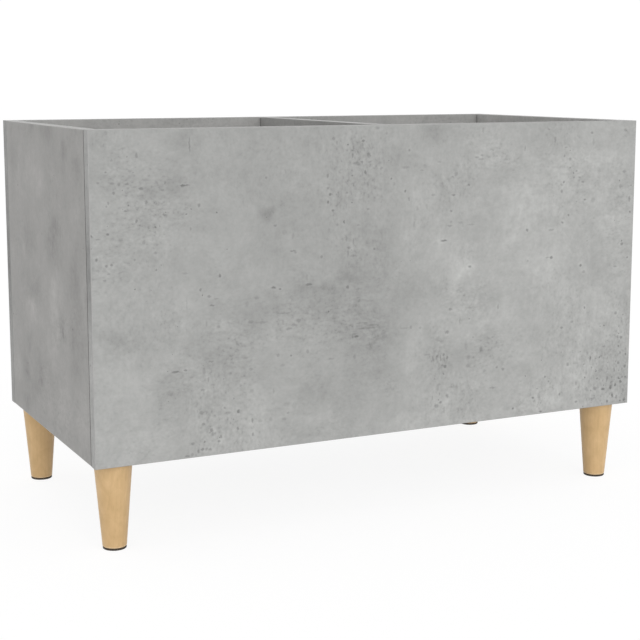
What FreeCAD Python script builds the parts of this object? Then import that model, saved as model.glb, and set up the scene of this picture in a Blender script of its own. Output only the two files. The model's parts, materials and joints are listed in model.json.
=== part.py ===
import FreeCAD, Part
import os

# A record cabinet: an open-topped box of faced boards, split in two by an upright divider, on four
# tapered wooden legs with a thin pad under each. The front and back boards run the full width and
# lap the ends of the side boards. The bottom board lies between all four, flush with their lower
# edges. Every board joint is drawn up by cam locks and lined up by wooden dowels, and the divider
# is also screwed from below. Each leg turns on a bolt in a threaded insert in the bottom board.
#
# X runs to the right, Y to the back and Z up, in millimetres. The origin is on the floor, under the
# middle of the cabinet.

# Box, outside
body_width = 745.0
body_depth = 380.0
body_height = 380.0

# Boards, and the edging glued to their open edges
board = 15.0
edging = 0.8
edging_bevel = 0.4
blind_backing = 3.5  # board left behind a blind hole
relief_width = 0.5  # thin groove beside the end joints of the upright boards
relief_depth = 1.0

# Legs and pads
leg_length = 101.0
leg_top_radius = 22.4
leg_foot_radius = 14.1
leg_bevel = 0.8
leg_inset = 30.0  # from the outside faces of the box to the leg's axis
pad_thickness = 2.5
pad_radius = 13.8
pad_bevel = 0.4

# Leg bolts: a machine thread above and a wood thread below
leg_bolt_radius = 4.0
leg_bolt_core = 3.3
leg_bolt_grip = 36.0  # length of the wood thread in the leg
leg_bolt_point = 4.0
machine_pitch = 1.25
wood_pitch = 3.0

# Threaded inserts for the leg bolts
insert_radius = 6.0
insert_core = 5.2
insert_backing = 2.5  # board left above an insert
insert_slot = 1.6
insert_slot_depth = 2.0

# Cam locks: the cam turns in the edge board and hooks the head of a bolt in the face board
cam_radius = 7.5
cam_backing = 2.5  # board left behind a cam
cam_sink = 0.2  # cam face below the board's face
cam_setback = 24.0  # from the board joint to the cam's axis
recess_width = 1.8
recess_length = 7.0
recess_depth = 1.8
arrow_length = 2.0
arrow_width = 2.4
arrow_depth = 0.6
arrow_margin = 0.6  # from the arrow's tip to the cam's rim

# Cam bolts
cam_bolt_thread = 3.4
cam_bolt_core = 2.5
cam_bolt_pitch = 2.0
cam_bolt_collar = 1.6
cam_bolt_shank = 2.9
cam_bolt_neck = 2.0
cam_bolt_head = 3.1
cam_bolt_head_length = 4.0
cam_bolt_bevel = 0.6

# Dowels
dowel_radius = 4.0
dowel_length = 30.0
dowel_bevel = 1.0

# Screws up through the bottom board into the divider
screw_length = 50.0
screw_head = 5.0
screw_shank = 3.3
screw_core = 2.4
screw_pitch = 3.0
screw_point = 3.0
screw_sink = 0.3
screw_key = 2.3  # from the axis to a corner of the hexagon socket
screw_key_depth = 2.5

# Where the fixings are
wall_cam_margin = 60.0  # cams in the upright boards, from the box's lower and upper edges
wall_dowel_step = 64.0  # from such a cam to its dowel, towards mid-height
bottom_dowel_step = 96.0  # from the middle of each compartment, along the long edges
side_dowel_offset = 96.0  # from the middle of the short edges
divider_screw_offset = 110.0  # from mid-depth
divider_dowel_offset = 48.0  # from mid-depth

# Clearances
fit_gap = 0.1  # around what turns or screws in
dowel_gap = 0.05
end_gap = 0.5  # past the end of what sits in a blind hole
cut_overrun = 1.0  # how far a cutting shape passes the face that it opens

# Places that follow from the sizes
half_width = body_width / 2
half_depth = body_depth / 2
inner_x = half_width - board
inner_y = half_depth - board
body_bottom = pad_thickness + leg_length
body_top = body_bottom + body_height
floor_top = body_bottom + board
mid_board = board / 2
side_middle = half_width - mid_board
end_middle = half_depth - mid_board
bottom_middle = body_bottom + mid_board
compartment_middle = (inner_x + mid_board) / 2
blind_depth = board - blind_backing
wall_cam_heights = (body_bottom + wall_cam_margin, body_top - wall_cam_margin)
wall_dowel_heights = (wall_cam_heights[0] + wall_dowel_step, wall_cam_heights[1] - wall_dowel_step)

RIGHT = FreeCAD.Vector(1, 0, 0)
BACK = FreeCAD.Vector(0, 1, 0)
UP = FreeCAD.Vector(0, 0, 1)
CENTRE = FreeCAD.Vector()
FULL_TURN = 360
QUARTER_TURN = 90
HEXAGON = 6

# The walls: each board's name, where its inner face is, and the way that face looks
END_WALLS = (("front_panel", -inner_y, BACK), ("back_panel", inner_y, -BACK))
SIDE_WALLS = (("left_side_panel", -inner_x, RIGHT), ("right_side_panel", inner_x, -RIGHT))

# The upright boards between the end walls: each one's name, its middle, and the way its cams face
UPRIGHTS = (
    ("left_side_panel", -side_middle, RIGHT),
    ("right_side_panel", side_middle, -RIGHT),
    ("divider_panel", 0, RIGHT),
)


def frame_at(point, along, side):
    """A place whose Z runs along one direction and whose X points to one side."""
    return FreeCAD.Placement(point, FreeCAD.Rotation(side, along.cross(side), along, "ZXY"))


def placed(shape, frame):
    """A copy of a shape, moved from its own frame to its place in the cabinet."""
    return shape.transformed(frame.toMatrix())


def box(corner, opposite):
    """A block between two opposite corners, each an (x, y, z)."""
    low = FreeCAD.Vector(*map(min, corner, opposite))
    size = FreeCAD.Vector(*map(max, corner, opposite)) - low
    return Part.makeBox(size.x, size.y, size.z, low)


def polygon_face(points):
    """A flat face inside a closed outline."""
    return Part.Face(Part.makePolygon(points + points[:1]))


def turned(outline):
    """A solid turned about Z, from an outline of (radius, height) points."""
    points = [FreeCAD.Vector(radius, 0, height) for radius, height in outline]
    return polygon_face(points).revolve(CENTRE, UP, FULL_TURN)


def thread(core, crest, start, end, pitch):
    """Outline points of a thread's ridges between two heights, as many as fit."""
    count = max(1, int(abs(end - start) / pitch))
    step = (end - start) / count
    points = []
    for turn in range(count):
        points.append((core, start + turn * step))
        points.append((crest, start + (turn + 0.5) * step))
    return points + [(core, end)]


def bore(radius, start, end):
    """A cutting cylinder along Z between two heights."""
    return Part.makeCylinder(radius, end - start, UP * start)


# Fastener shapes. Z runs from the face board into the edge board, with 0 at the joint between
# them, and X points to the edge board's cam face, with 0 at the middle of its thickness.


def cam_bolt():
    """The bolt that a cam hooks: thread, collar, shank, neck and head."""
    head_start = cam_setback - cam_bolt_head_length / 2
    head_end = cam_setback + cam_bolt_head_length / 2
    collar_radius = dowel_radius - fit_gap
    neck_start = cam_setback - cam_radius
    outline = [(0, end_gap - blind_depth)]
    outline += thread(cam_bolt_core, cam_bolt_thread, end_gap - blind_depth, 0, cam_bolt_pitch)
    outline += [
        (collar_radius, 0),
        (collar_radius, cam_bolt_collar),
        (cam_bolt_shank, cam_bolt_collar),
        (cam_bolt_shank, neck_start - cam_bolt_bevel),
        (cam_bolt_neck, neck_start),
        (cam_bolt_neck, head_start),
        (cam_bolt_head - cam_bolt_bevel, head_start),
        (cam_bolt_head, head_start + cam_bolt_bevel),
        (cam_bolt_head, head_end - cam_bolt_bevel),
        (cam_bolt_head - cam_bolt_bevel, head_end),
        (0, head_end),
    ]
    return turned(outline)


def cam():
    """The cam: a disc with a head pocket, a neck slot for a quarter turn and a way in for the head."""
    face = mid_board - cam_sink
    back = cam_backing - mid_board + end_gap
    middle = UP * cam_setback
    disc = Part.makeCylinder(cam_radius - fit_gap, face - back, middle + RIGHT * back, RIGHT)
    wide = cam_bolt_head + fit_gap
    deep = cam_bolt_head_length / 2 + fit_gap
    narrow = cam_bolt_neck + fit_gap
    reach = cam_radius + cut_overrun
    cuts = [
        box((-wide, -wide, cam_setback - deep), (wide, wide, cam_setback + deep)),
        box((-narrow, -narrow, cam_setback - reach), (narrow, narrow, cam_setback)),
        box((-wide, 0, cam_setback - wide), (wide, reach, cam_setback + wide)),
        neck_sweep(narrow, reach, middle),
        arrow(face, middle),
    ]
    half_slot = recess_width / 2
    half_length = recess_length / 2
    floor = face - recess_depth
    top = face + cut_overrun
    cuts.append(
        box((floor, -half_slot, cam_setback - half_length), (top, half_slot, cam_setback + half_length))
    )
    cuts.append(
        box((floor, -half_length, cam_setback - half_slot), (top, half_length, cam_setback + half_slot))
    )
    return disc.cut(cuts)


def neck_sweep(half_height, reach, middle):
    """The quarter of a disc that the bolt's neck passes through as the cam turns."""
    sweep = Part.makeCylinder(reach, half_height * 2, CENTRE, UP, QUARTER_TURN)
    return placed(sweep, frame_at(middle - RIGHT * half_height, RIGHT, -UP))


def arrow(face, middle):
    """A shallow arrowhead on the cam's face, towards the bolt."""
    tip = middle + RIGHT * face - UP * (cam_radius - arrow_margin)
    tail = tip + UP * arrow_length
    corners = [tip, tail + BACK * arrow_width / 2, tail - BACK * arrow_width / 2]
    return polygon_face([corner - RIGHT * arrow_depth for corner in corners]).extrude(
        RIGHT * (arrow_depth + cut_overrun)
    )


def dowel():
    """A wooden dowel with bevelled ends."""
    low = end_gap - blind_depth
    high = low + dowel_length
    return turned(
        [
            (0, low),
            (dowel_radius - dowel_bevel, low),
            (dowel_radius, low + dowel_bevel),
            (dowel_radius, high - dowel_bevel),
            (dowel_radius - dowel_bevel, high),
            (0, high),
        ]
    )


def divider_screw():
    """A countersunk screw, with 0 at the underside of the bottom board."""
    head_end = screw_sink + screw_head - screw_shank
    socket = [
        FreeCAD.Rotation(UP, corner * FULL_TURN / HEXAGON).multVec(RIGHT * screw_key)
        for corner in range(HEXAGON)
    ]
    key = polygon_face([point - UP * cut_overrun for point in socket]).extrude(
        UP * (cut_overrun + screw_sink + screw_key_depth)
    )
    outline = [(0, screw_sink), (screw_head, screw_sink), (screw_shank, head_end), (screw_shank, board)]
    outline += thread(screw_core, screw_shank, board, screw_length - screw_point, screw_pitch)
    outline += [(0, screw_length)]
    return turned(outline).cut(key)


# Boards. Each is a faced core without its edging, before its holes are drilled.


def board_cores():
    """The six boards as plain blocks, by name."""
    end_core = half_width - edging
    low = body_bottom + edging
    high = body_top - edging
    cores = {
        "front_panel": box((-end_core, -half_depth, low), (end_core, -inner_y, high)),
        "back_panel": box((-end_core, inner_y, low), (end_core, half_depth, high)),
        "left_side_panel": box((-half_width, -inner_y, low), (-inner_x, inner_y, high)),
        "right_side_panel": box((inner_x, -inner_y, low), (half_width, inner_y, high)),
        "bottom_panel": box((-inner_x, -inner_y, body_bottom), (inner_x, inner_y, floor_top)),
        "divider_panel": box((-mid_board, -inner_y, floor_top), (mid_board, inner_y, high)),
    }
    for name, x, _ in UPRIGHTS:
        cores[name] = cores[name].cut(end_reliefs(x))
    return cores


def end_reliefs(x):
    """Cuts for the thin grooves along both faces' ends of an upright board."""
    cuts = []
    for face in (-1, 1):
        for end in (-1, 1):
            inside = (x + face * (mid_board - relief_depth), end * (inner_y - relief_width), body_bottom)
            outside = (x + face * (mid_board + cut_overrun), end * (inner_y + cut_overrun), body_top)
            cuts.append(box(inside, outside))
    return cuts


def edging_strip(point, along, outward, length):
    """A strip of edging with bevelled outer corners. point is where the middle of its back starts."""
    section = [
        FreeCAD.Vector(0, -mid_board, 0),
        FreeCAD.Vector(edging - edging_bevel, -mid_board, 0),
        FreeCAD.Vector(edging, edging_bevel - mid_board, 0),
        FreeCAD.Vector(edging, mid_board - edging_bevel, 0),
        FreeCAD.Vector(edging - edging_bevel, mid_board, 0),
        FreeCAD.Vector(0, mid_board, 0),
    ]
    strip = polygon_face(section).extrude(UP * length)
    return placed(strip, frame_at(point, along, outward))


def face_board_edging(y):
    """Edging all round a front or back board: full-height ends, with the other strips between."""
    core = half_width - edging
    strips = []
    for side in (-1, 1):
        start = FreeCAD.Vector(side * core, y, body_bottom)
        strips.append(edging_strip(start, UP, RIGHT * side, body_height))
    for height, outward in ((body_bottom + edging, -UP), (body_top - edging, UP)):
        start = FreeCAD.Vector(-core, y, height)
        strips.append(edging_strip(start, RIGHT, outward, core * 2))
    return strips


def upright_edging(x, heights):
    """Edging on the open edges of a board that runs from front to back."""
    strips = []
    for height, outward in heights:
        start = FreeCAD.Vector(x, -inner_y, height)
        strips.append(edging_strip(start, BACK, outward, inner_y * 2))
    return strips


def all_edging():
    """Every board's edging, by name."""
    top = (body_top - edging, UP)
    lower = (body_bottom + edging, -UP)
    return {
        "front_panel_edging": face_board_edging(-end_middle),
        "back_panel_edging": face_board_edging(end_middle),
        "left_side_edging": upright_edging(-side_middle, (lower, top)),
        "right_side_edging": upright_edging(side_middle, (lower, top)),
        "divider_edging": upright_edging(0, (top,)),
    }


class Assembly:
    """The boards with their holes, and the groups of fasteners that fill them."""

    def __init__(self):
        self.cores = board_cores()
        self.holes = {name: [] for name in self.cores}
        self.groups = {}

    def drill(self, name, shape, frame):
        self.holes[name].append(placed(shape, frame))

    def add(self, group, shape, frame):
        self.groups.setdefault(group, []).append(placed(shape, frame))

    def boards(self):
        return {name: [core.cut(self.holes[name])] for name, core in self.cores.items()}


def fit_cam(assembly, face_board, edge_board, frame):
    """A cam lock across a joint, with its holes in both boards."""
    shank_bore = bore(dowel_radius, -cut_overrun, cam_setback)
    cam_floor = UP * cam_setback + RIGHT * (cam_backing - mid_board)
    cam_bore = Part.makeCylinder(cam_radius, board - cam_backing + cut_overrun, cam_floor, RIGHT)
    assembly.drill(face_board, bore(cam_bolt_thread + fit_gap, -blind_depth, cut_overrun), frame)
    assembly.drill(edge_board, shank_bore, frame)
    assembly.drill(edge_board, cam_bore, frame)
    assembly.add("cam_bolts_" + face_board, cam_bolt(), frame)
    assembly.add("cams_" + edge_board, cam(), frame)


def fit_dowel(assembly, face_board, edge_board, frame):
    """A dowel across a joint, with its holes in both boards."""
    radius = dowel_radius + dowel_gap
    edge_depth = dowel_length - blind_depth + end_gap * 2
    assembly.drill(face_board, bore(radius, -blind_depth, cut_overrun), frame)
    assembly.drill(edge_board, bore(radius, -cut_overrun, edge_depth), frame)
    assembly.add("dowels_" + face_board, dowel(), frame)


def fit_uprights(assembly):
    """Fixings from the front and back boards into the ends of the side boards and the divider."""
    for face_board, y, inward in END_WALLS:
        for edge_board, x, cam_side in UPRIGHTS:
            for height in wall_cam_heights:
                frame = frame_at(FreeCAD.Vector(x, y, height), inward, cam_side)
                fit_cam(assembly, face_board, edge_board, frame)
            for height in wall_dowel_heights:
                frame = frame_at(FreeCAD.Vector(x, y, height), inward, cam_side)
                fit_dowel(assembly, face_board, edge_board, frame)


def fit_bottom(assembly):
    """Fixings from all four walls into the edges of the bottom board, with the cams underneath."""
    for face_board, y, inward in END_WALLS:
        for x in (-compartment_middle, compartment_middle):
            frame = frame_at(FreeCAD.Vector(x, y, bottom_middle), inward, -UP)
            fit_cam(assembly, face_board, "bottom_panel", frame)
            for step in (-bottom_dowel_step, bottom_dowel_step):
                frame = frame_at(FreeCAD.Vector(x + step, y, bottom_middle), inward, -UP)
                fit_dowel(assembly, face_board, "bottom_panel", frame)
    for face_board, x, inward in SIDE_WALLS:
        frame = frame_at(FreeCAD.Vector(x, 0, bottom_middle), inward, -UP)
        fit_cam(assembly, face_board, "bottom_panel", frame)
        for y in (-side_dowel_offset, side_dowel_offset):
            frame = frame_at(FreeCAD.Vector(x, y, bottom_middle), inward, -UP)
            fit_dowel(assembly, face_board, "bottom_panel", frame)


def fit_divider_foot(assembly):
    """Dowels and screws between the bottom board and the divider that stands on it."""
    countersink = screw_head + screw_sink + fit_gap
    clearance = screw_shank + fit_gap
    pilot = bore(clearance, board - cut_overrun, screw_length + end_gap)
    for side in (-1, 1):
        dowel_frame = frame_at(FreeCAD.Vector(0, side * divider_dowel_offset, floor_top), UP, RIGHT)
        fit_dowel(assembly, "bottom_panel", "divider_panel", dowel_frame)
        screw_frame = frame_at(FreeCAD.Vector(0, side * divider_screw_offset, body_bottom), UP, RIGHT)
        assembly.drill("bottom_panel", bore(clearance, -cut_overrun, board + cut_overrun), screw_frame)
        assembly.drill("bottom_panel", Part.makeCone(countersink, 0, countersink), screw_frame)
        assembly.drill("divider_panel", pilot, screw_frame)
        assembly.add("divider_screws", divider_screw(), screw_frame)


# Legs. Z is the leg's axis, with 0 at the floor.


def leg():
    """A tapered round leg with a blind bore for its bolt."""
    bore_radius = leg_bolt_radius + fit_gap
    bore_floor = body_bottom - leg_bolt_grip - end_gap
    return turned(
        [
            (0, pad_thickness),
            (leg_foot_radius - leg_bevel, pad_thickness),
            (leg_foot_radius, pad_thickness + leg_bevel),
            (leg_top_radius, body_bottom - leg_bevel),
            (leg_top_radius - leg_bevel, body_bottom),
            (bore_radius, body_bottom),
            (bore_radius, bore_floor),
            (0, bore_floor),
        ]
    )


def foot_pad():
    """A thin round pad glued under a leg."""
    return turned(
        [
            (0, 0),
            (pad_radius - pad_bevel, 0),
            (pad_radius, pad_bevel),
            (pad_radius, pad_thickness),
            (0, pad_thickness),
        ]
    )


def leg_bolt():
    """A headless bolt: a wood thread down into the leg, a machine thread up into the insert."""
    low = body_bottom - leg_bolt_grip
    high = floor_top - insert_backing - end_gap
    outline = [(0, low)]
    outline += thread(leg_bolt_core, leg_bolt_radius, low + leg_bolt_point, body_bottom, wood_pitch)
    outline += thread(leg_bolt_core, leg_bolt_radius, body_bottom, high, machine_pitch)
    outline += [(0, high)]
    return turned(outline)


def leg_insert():
    """A threaded insert with a driving slot across its lower end."""
    inside = leg_bolt_radius + fit_gap
    high = floor_top - insert_backing - end_gap
    outline = [(inside, body_bottom)]
    outline += thread(insert_core, insert_radius, body_bottom, high, wood_pitch)
    outline += [(inside, high)]
    half_slot = insert_slot / 2
    reach = insert_radius + cut_overrun
    slot = box(
        (-half_slot, -reach, body_bottom - cut_overrun),
        (half_slot, reach, body_bottom + insert_slot_depth),
    )
    return turned(outline).cut(slot)


def fit_legs(assembly):
    """A leg, its pad, bolt and insert at each corner, with the insert's hole in the bottom board."""
    insert_hole = bore(insert_radius + fit_gap, body_bottom - cut_overrun, floor_top - insert_backing)
    for depth_name, depth_side in (("front", -1), ("back", 1)):
        for width_name, width_side in (("left", -1), ("right", 1)):
            corner = f"{depth_name}_{width_name}"
            x = width_side * (half_width - leg_inset)
            y = depth_side * (half_depth - leg_inset)
            frame = frame_at(FreeCAD.Vector(x, y, 0), UP, RIGHT)
            assembly.drill("bottom_panel", insert_hole, frame)
            assembly.add("leg_" + corner, leg(), frame)
            assembly.add("foot_pad_" + corner, foot_pad(), frame)
            assembly.add("leg_bolt_" + corner, leg_bolt(), frame)
            assembly.add("leg_insert_" + corner, leg_insert(), frame)


def build():
    """Every node of the cabinet: its name and its solids."""
    assembly = Assembly()
    fit_uprights(assembly)
    fit_bottom(assembly)
    fit_divider_foot(assembly)
    fit_legs(assembly)
    return {**assembly.boards(), **all_edging(), **assembly.groups}


def main():
    os.makedirs("parts", exist_ok=True)
    for name, shapes in build().items():
        solids = [solid for shape in shapes for solid in shape.Solids]
        whole = solids[0] if len(solids) == 1 else Part.makeCompound(solids)
        whole.exportStep(f"parts/{name}.step")
        print(name, len(solids), "solid(s),", round(whole.Volume), "mm3, valid:", whole.isValid())


main()
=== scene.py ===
import json
import math

import bpy
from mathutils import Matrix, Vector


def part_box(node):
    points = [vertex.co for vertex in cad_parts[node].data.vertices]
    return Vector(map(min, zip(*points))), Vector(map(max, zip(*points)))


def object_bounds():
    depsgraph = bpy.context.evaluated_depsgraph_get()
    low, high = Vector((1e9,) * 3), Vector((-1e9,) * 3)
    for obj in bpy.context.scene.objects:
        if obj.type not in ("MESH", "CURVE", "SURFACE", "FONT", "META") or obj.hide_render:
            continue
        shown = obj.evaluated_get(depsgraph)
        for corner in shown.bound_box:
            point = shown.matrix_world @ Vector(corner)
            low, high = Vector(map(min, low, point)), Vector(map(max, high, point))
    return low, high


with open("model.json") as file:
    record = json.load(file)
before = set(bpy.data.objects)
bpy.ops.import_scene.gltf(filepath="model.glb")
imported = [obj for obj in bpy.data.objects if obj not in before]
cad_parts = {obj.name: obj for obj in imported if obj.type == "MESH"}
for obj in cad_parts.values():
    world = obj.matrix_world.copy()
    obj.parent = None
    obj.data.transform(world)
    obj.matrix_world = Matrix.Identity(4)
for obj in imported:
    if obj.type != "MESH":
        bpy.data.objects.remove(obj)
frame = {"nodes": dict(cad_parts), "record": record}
cad_low, cad_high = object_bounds()

# The camera, fitted to the corners and feet in the photograph: metres, degrees and pixels
PICTURE_WIDTH = 640
FOCAL_PIXELS = 1397.9
SENSOR_WIDTH = 36.0
CAMERA_PLACE = (-0.8184, -1.6663, 0.5402)
CAMERA_TURN = 26.21
CAMERA_TILT = 8.33
CAMERA_SHIFT = -0.06

# The studio: light levels at which a white card would read one
SKY_LEVEL = 0.76
LAMP_LEVEL = 0.385
LAMP_HEIGHT = 10.0
LAMP_TURN = -10.0
LAMP_SOFTNESS = 70.0
FLOOR_RADIUS = 24.0
FLOOR_SIDES = 96
FLOOR_PALE = 0.80
SHADOW_SHARE = 0.18
BACKDROP_LIFT = 1.03

# Finishes, as linear colours
CONCRETE_FRONT = (0.405, 0.407, 0.397)
CONCRETE_SIDE = (0.372, 0.366, 0.356)
CONCRETE_BOARD = (0.440, 0.437, 0.426)
CONCRETE_DIVIDER = (0.371, 0.368, 0.359)
CONCRETE_RIGHT = (0.470, 0.465, 0.453)
FRONT_EDGING_COLOUR = (0.430, 0.430, 0.421)
EDGING_COLOUR = (0.490, 0.488, 0.478)
WOOD_PALE = (0.690, 0.466, 0.234)
DOWEL_PALE = (0.620, 0.440, 0.250)
RUBBER_COLOUR = (0.042, 0.030, 0.019)
ZINC_COLOUR = (0.560, 0.560, 0.550)
STEEL_COLOUR = (0.640, 0.640, 0.620)

# The print's clouds on the front panel: how far across and up the panel, half width and half height as
# shares of the panel's width, and how much paler or darker
FRONT_CLOUD_SHARES = [
    (0.820, 0.550, 0.360, 0.420, 0.110),
    (0.470, 0.470, 0.110, 0.200, -0.085),
    (0.465, 0.345, 0.045, 0.040, -0.110),
    (0.405, 0.490, 0.050, 0.030, -0.100),
    (0.348, 0.506, 0.022, 0.020, -0.110),
    (0.465, 0.630, 0.050, 0.080, -0.090),
    (0.494, 0.265, 0.030, 0.055, -0.090),
    (0.270, 0.425, 0.050, 0.030, -0.085),
    (0.287, 0.744, 0.014, 0.014, -0.170),
    (0.110, 0.832, 0.060, 0.018, -0.100),
    (0.590, 0.970, 0.034, 0.020, -0.130),
    (0.463, 0.910, 0.030, 0.030, -0.080),
    (0.519, 0.900, 0.026, 0.022, -0.080),
    (0.047, 0.388, 0.036, 0.022, -0.120),
    (0.125, 0.210, 0.024, 0.036, -0.100),
    (0.012, 0.980, 0.024, 0.026, -0.090),
    (0.150, 0.955, 0.030, 0.020, -0.100),
    (0.190, 0.318, 0.032, 0.030, -0.080),
    (0.232, 0.268, 0.026, 0.030, -0.080),
    (0.345, 0.170, 0.040, 0.026, -0.085),
    (0.400, 0.130, 0.045, 0.022, -0.075),
    (0.375, 0.032, 0.034, 0.020, -0.080),
    (0.612, 0.765, 0.030, 0.026, -0.080),
    (0.672, 0.675, 0.034, 0.018, -0.045),
    (0.605, 0.230, 0.022, 0.036, -0.075),
    (0.690, 0.258, 0.026, 0.020, -0.060),
    (0.645, 0.248, 0.022, 0.020, -0.080),
    (0.665, 0.072, 0.034, 0.024, -0.075),
    (0.820, 0.348, 0.014, 0.036, -0.075),
    (0.917, 0.496, 0.030, 0.032, -0.085),
    (0.846, 0.210, 0.024, 0.024, -0.065),
    (0.950, 0.080, 0.032, 0.022, -0.170),
    (0.992, 0.022, 0.020, 0.022, -0.150),
    (0.972, 0.150, 0.022, 0.030, -0.050),
    (0.544, 0.466, 0.032, 0.036, -0.090),
    (0.806, 0.980, 0.040, 0.018, -0.060),
    (0.770, 0.743, 0.045, 0.036, 0.145),
    (0.745, 0.645, 0.040, 0.034, 0.090),
    (0.808, 0.500, 0.032, 0.034, 0.090),
    (0.640, 0.525, 0.034, 0.028, 0.130),
    (0.612, 0.605, 0.034, 0.030, 0.090),
    (0.545, 0.645, 0.022, 0.060, 0.085),
    (0.548, 0.783, 0.024, 0.040, 0.070),
    (0.549, 0.268, 0.020, 0.060, 0.085),
    (0.553, 0.032, 0.030, 0.020, 0.130),
    (0.695, 0.338, 0.036, 0.024, 0.090),
    (0.906, 0.862, 0.050, 0.018, 0.120),
    (0.966, 0.862, 0.030, 0.020, 0.110),
    (0.836, 0.852, 0.026, 0.014, 0.075),
    (0.826, 0.042, 0.036, 0.024, 0.150),
    (0.876, 0.130, 0.022, 0.040, 0.085),
    (0.262, 0.130, 0.034, 0.034, 0.090),
    (0.388, 0.081, 0.030, 0.014, 0.075),
    (0.151, 0.476, 0.022, 0.045, 0.090),
    (0.070, 0.830, 0.030, 0.022, -0.060),
    (0.050, 0.526, 0.045, 0.022, 0.045),
    (0.030, 0.071, 0.040, 0.040, 0.060),
    (0.952, 0.308, 0.030, 0.030, 0.070),
    (0.755, 0.209, 0.030, 0.020, 0.060),
    (0.645, 0.743, 0.030, 0.016, 0.065),
    (0.624, 0.051, 0.026, 0.018, 0.070),
    (0.200, 0.820, 0.030, 0.080, 0.030),
    (0.030, 0.160, 0.120, 0.150, 0.095),
    (0.550, 0.020, 0.600, 0.070, 0.050),
    (0.450, 0.930, 0.380, 0.060, -0.040),
    (0.320, 0.620, 0.060, 0.080, -0.060),
    (0.415, 0.570, 0.050, 0.036, 0.050),
    (0.350, 0.440, 0.120, 0.050, -0.050),
    (0.560, 0.640, 0.026, 0.050, 0.060),
    (0.800, 0.260, 0.036, 0.030, -0.080),
    (0.980, 0.330, 0.030, 0.040, -0.080),
    (1.000, 0.150, 0.018, 0.080, -0.050),
    (0.970, 0.700, 0.040, 0.050, 0.050),
    (0.240, 0.040, 0.060, 0.030, 0.070),
    (0.165, 0.290, 0.030, 0.050, -0.050),
    (0.150, 0.380, 0.030, 0.040, 0.045),
    (0.045, 0.490, 0.030, 0.040, 0.035),
    (0.582, 0.250, 0.024, 0.040, 0.050),
    (0.510, 0.345, 0.022, 0.030, 0.035),
    (0.365, 0.245, 0.040, 0.030, 0.035),
    (0.905, 0.180, 0.025, 0.060, 0.060),
    (0.893, 0.020, 0.022, 0.030, 0.070),
    (0.960, 0.530, 0.024, 0.040, 0.050),
    (0.825, 0.670, 0.035, 0.030, 0.045),
    (0.685, 0.710, 0.030, 0.025, 0.035),
    (0.710, 0.540, 0.035, 0.030, -0.045),
    (0.468, 0.450, 0.024, 0.024, -0.045),
    (0.345, 0.580, 0.040, 0.030, -0.035),
    (0.583, 0.915, 0.020, 0.024, -0.060),
    (0.900, 0.755, 0.026, 0.030, -0.045),
    (0.700, 0.810, 0.100, 0.025, -0.035),
    (0.872, 0.990, 0.020, 0.020, -0.050),
    (0.805, 0.275, 0.035, 0.030, -0.040),
    (1.000, 0.300, 0.022, 0.035, -0.070),
    (0.325, 0.855, 0.040, 0.030, -0.030),
    (0.670, -0.004, 0.200, 0.016, 0.055),
    (0.320, 0.000, 0.030, 0.018, 0.070),
    (0.020, 0.000, 0.040, 0.018, 0.050),
    (0.608, 0.780, 0.010, 0.022, -0.080),
    (0.595, 0.833, 0.009, 0.016, -0.060),
]

# Where the front's print is rough, or smooth where below nought, in the same shares
FRONT_ROUGH_SHARES = [
    (0.070, 0.700, 0.080, 0.100, 0.50),
    (0.075, 0.400, 0.075, 0.050, 0.30),
    (0.195, 0.170, 0.070, 0.120, 0.80),
    (0.310, 0.400, 0.060, 0.040, 0.50),
    (0.440, 0.370, 0.080, 0.040, 0.40),
    (0.460, 0.890, 0.060, 0.090, 0.40),
    (0.400, 0.760, 0.030, 0.050, 0.50),
    (0.435, 0.610, 0.035, 0.030, 0.40),
    (0.640, 0.810, 0.045, 0.050, 0.40),
    (0.640, 0.560, 0.030, 0.050, 0.40),
    (0.650, 0.410, 0.045, 0.030, 0.50),
    (0.605, 0.210, 0.030, 0.100, 0.60),
    (0.660, 0.110, 0.040, 0.060, 0.50),
    (0.690, 0.250, 0.030, 0.030, 0.50),
    (0.700, 0.890, 0.060, 0.025, 0.50),
    (0.850, 0.820, 0.060, 0.090, 0.50),
    (0.965, 0.140, 0.065, 0.090, 1.00),
    (0.900, 0.110, 0.060, 0.060, 0.60),
    (0.800, 0.060, 0.040, 0.040, 0.50),
    (0.860, 0.300, 0.060, 0.080, 0.40),
    (0.975, 0.740, 0.030, 0.090, 0.40),
    (0.980, 0.380, 0.030, 0.120, 0.30),
    (0.230, 0.640, 0.090, 0.110, -0.70),
    (0.200, 0.830, 0.035, 0.060, -0.50),
    (0.350, 0.620, 0.050, 0.060, -0.40),
    (0.705, 0.715, 0.070, 0.035, -0.60),
    (0.650, 0.505, 0.030, 0.022, -0.60),
    (0.760, 0.600, 0.050, 0.080, -0.30),
    (0.715, 0.350, 0.040, 0.030, -0.40),
    (0.540, 0.300, 0.030, 0.100, -0.40),
    (0.400, 0.200, 0.080, 0.060, -0.20),
    (0.040, 0.250, 0.050, 0.090, -0.20),
]

# Where the front's flecks and streaks lie across, or stand where below nought, in the same shares
FRONT_LYING_SHARES = [
    (0.080, 0.800, 0.110, 0.060, 0.50),
    (0.060, 0.050, 0.080, 0.060, 0.40),
    (0.400, 0.380, 0.150, 0.080, 0.60),
    (0.660, 0.420, 0.080, 0.050, 0.60),
    (0.350, 0.130, 0.120, 0.050, 0.50),
    (0.130, 0.270, 0.050, 0.030, 0.60),
    (0.860, 0.850, 0.120, 0.040, 0.30),
    (0.700, 0.150, 0.080, 0.050, 0.30),
    (0.055, 0.390, 0.050, 0.060, -0.50),
    (0.440, 0.800, 0.100, 0.150, -0.50),
    (0.860, 0.270, 0.080, 0.150, -0.60),
    (0.960, 0.120, 0.080, 0.120, -0.70),
    (0.650, 0.080, 0.050, 0.070, -0.60),
    (0.620, 0.800, 0.060, 0.080, -0.40),
    (0.570, 0.500, 0.040, 0.400, -0.40),
    (0.190, 0.100, 0.060, 0.080, -0.30),
]

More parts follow.
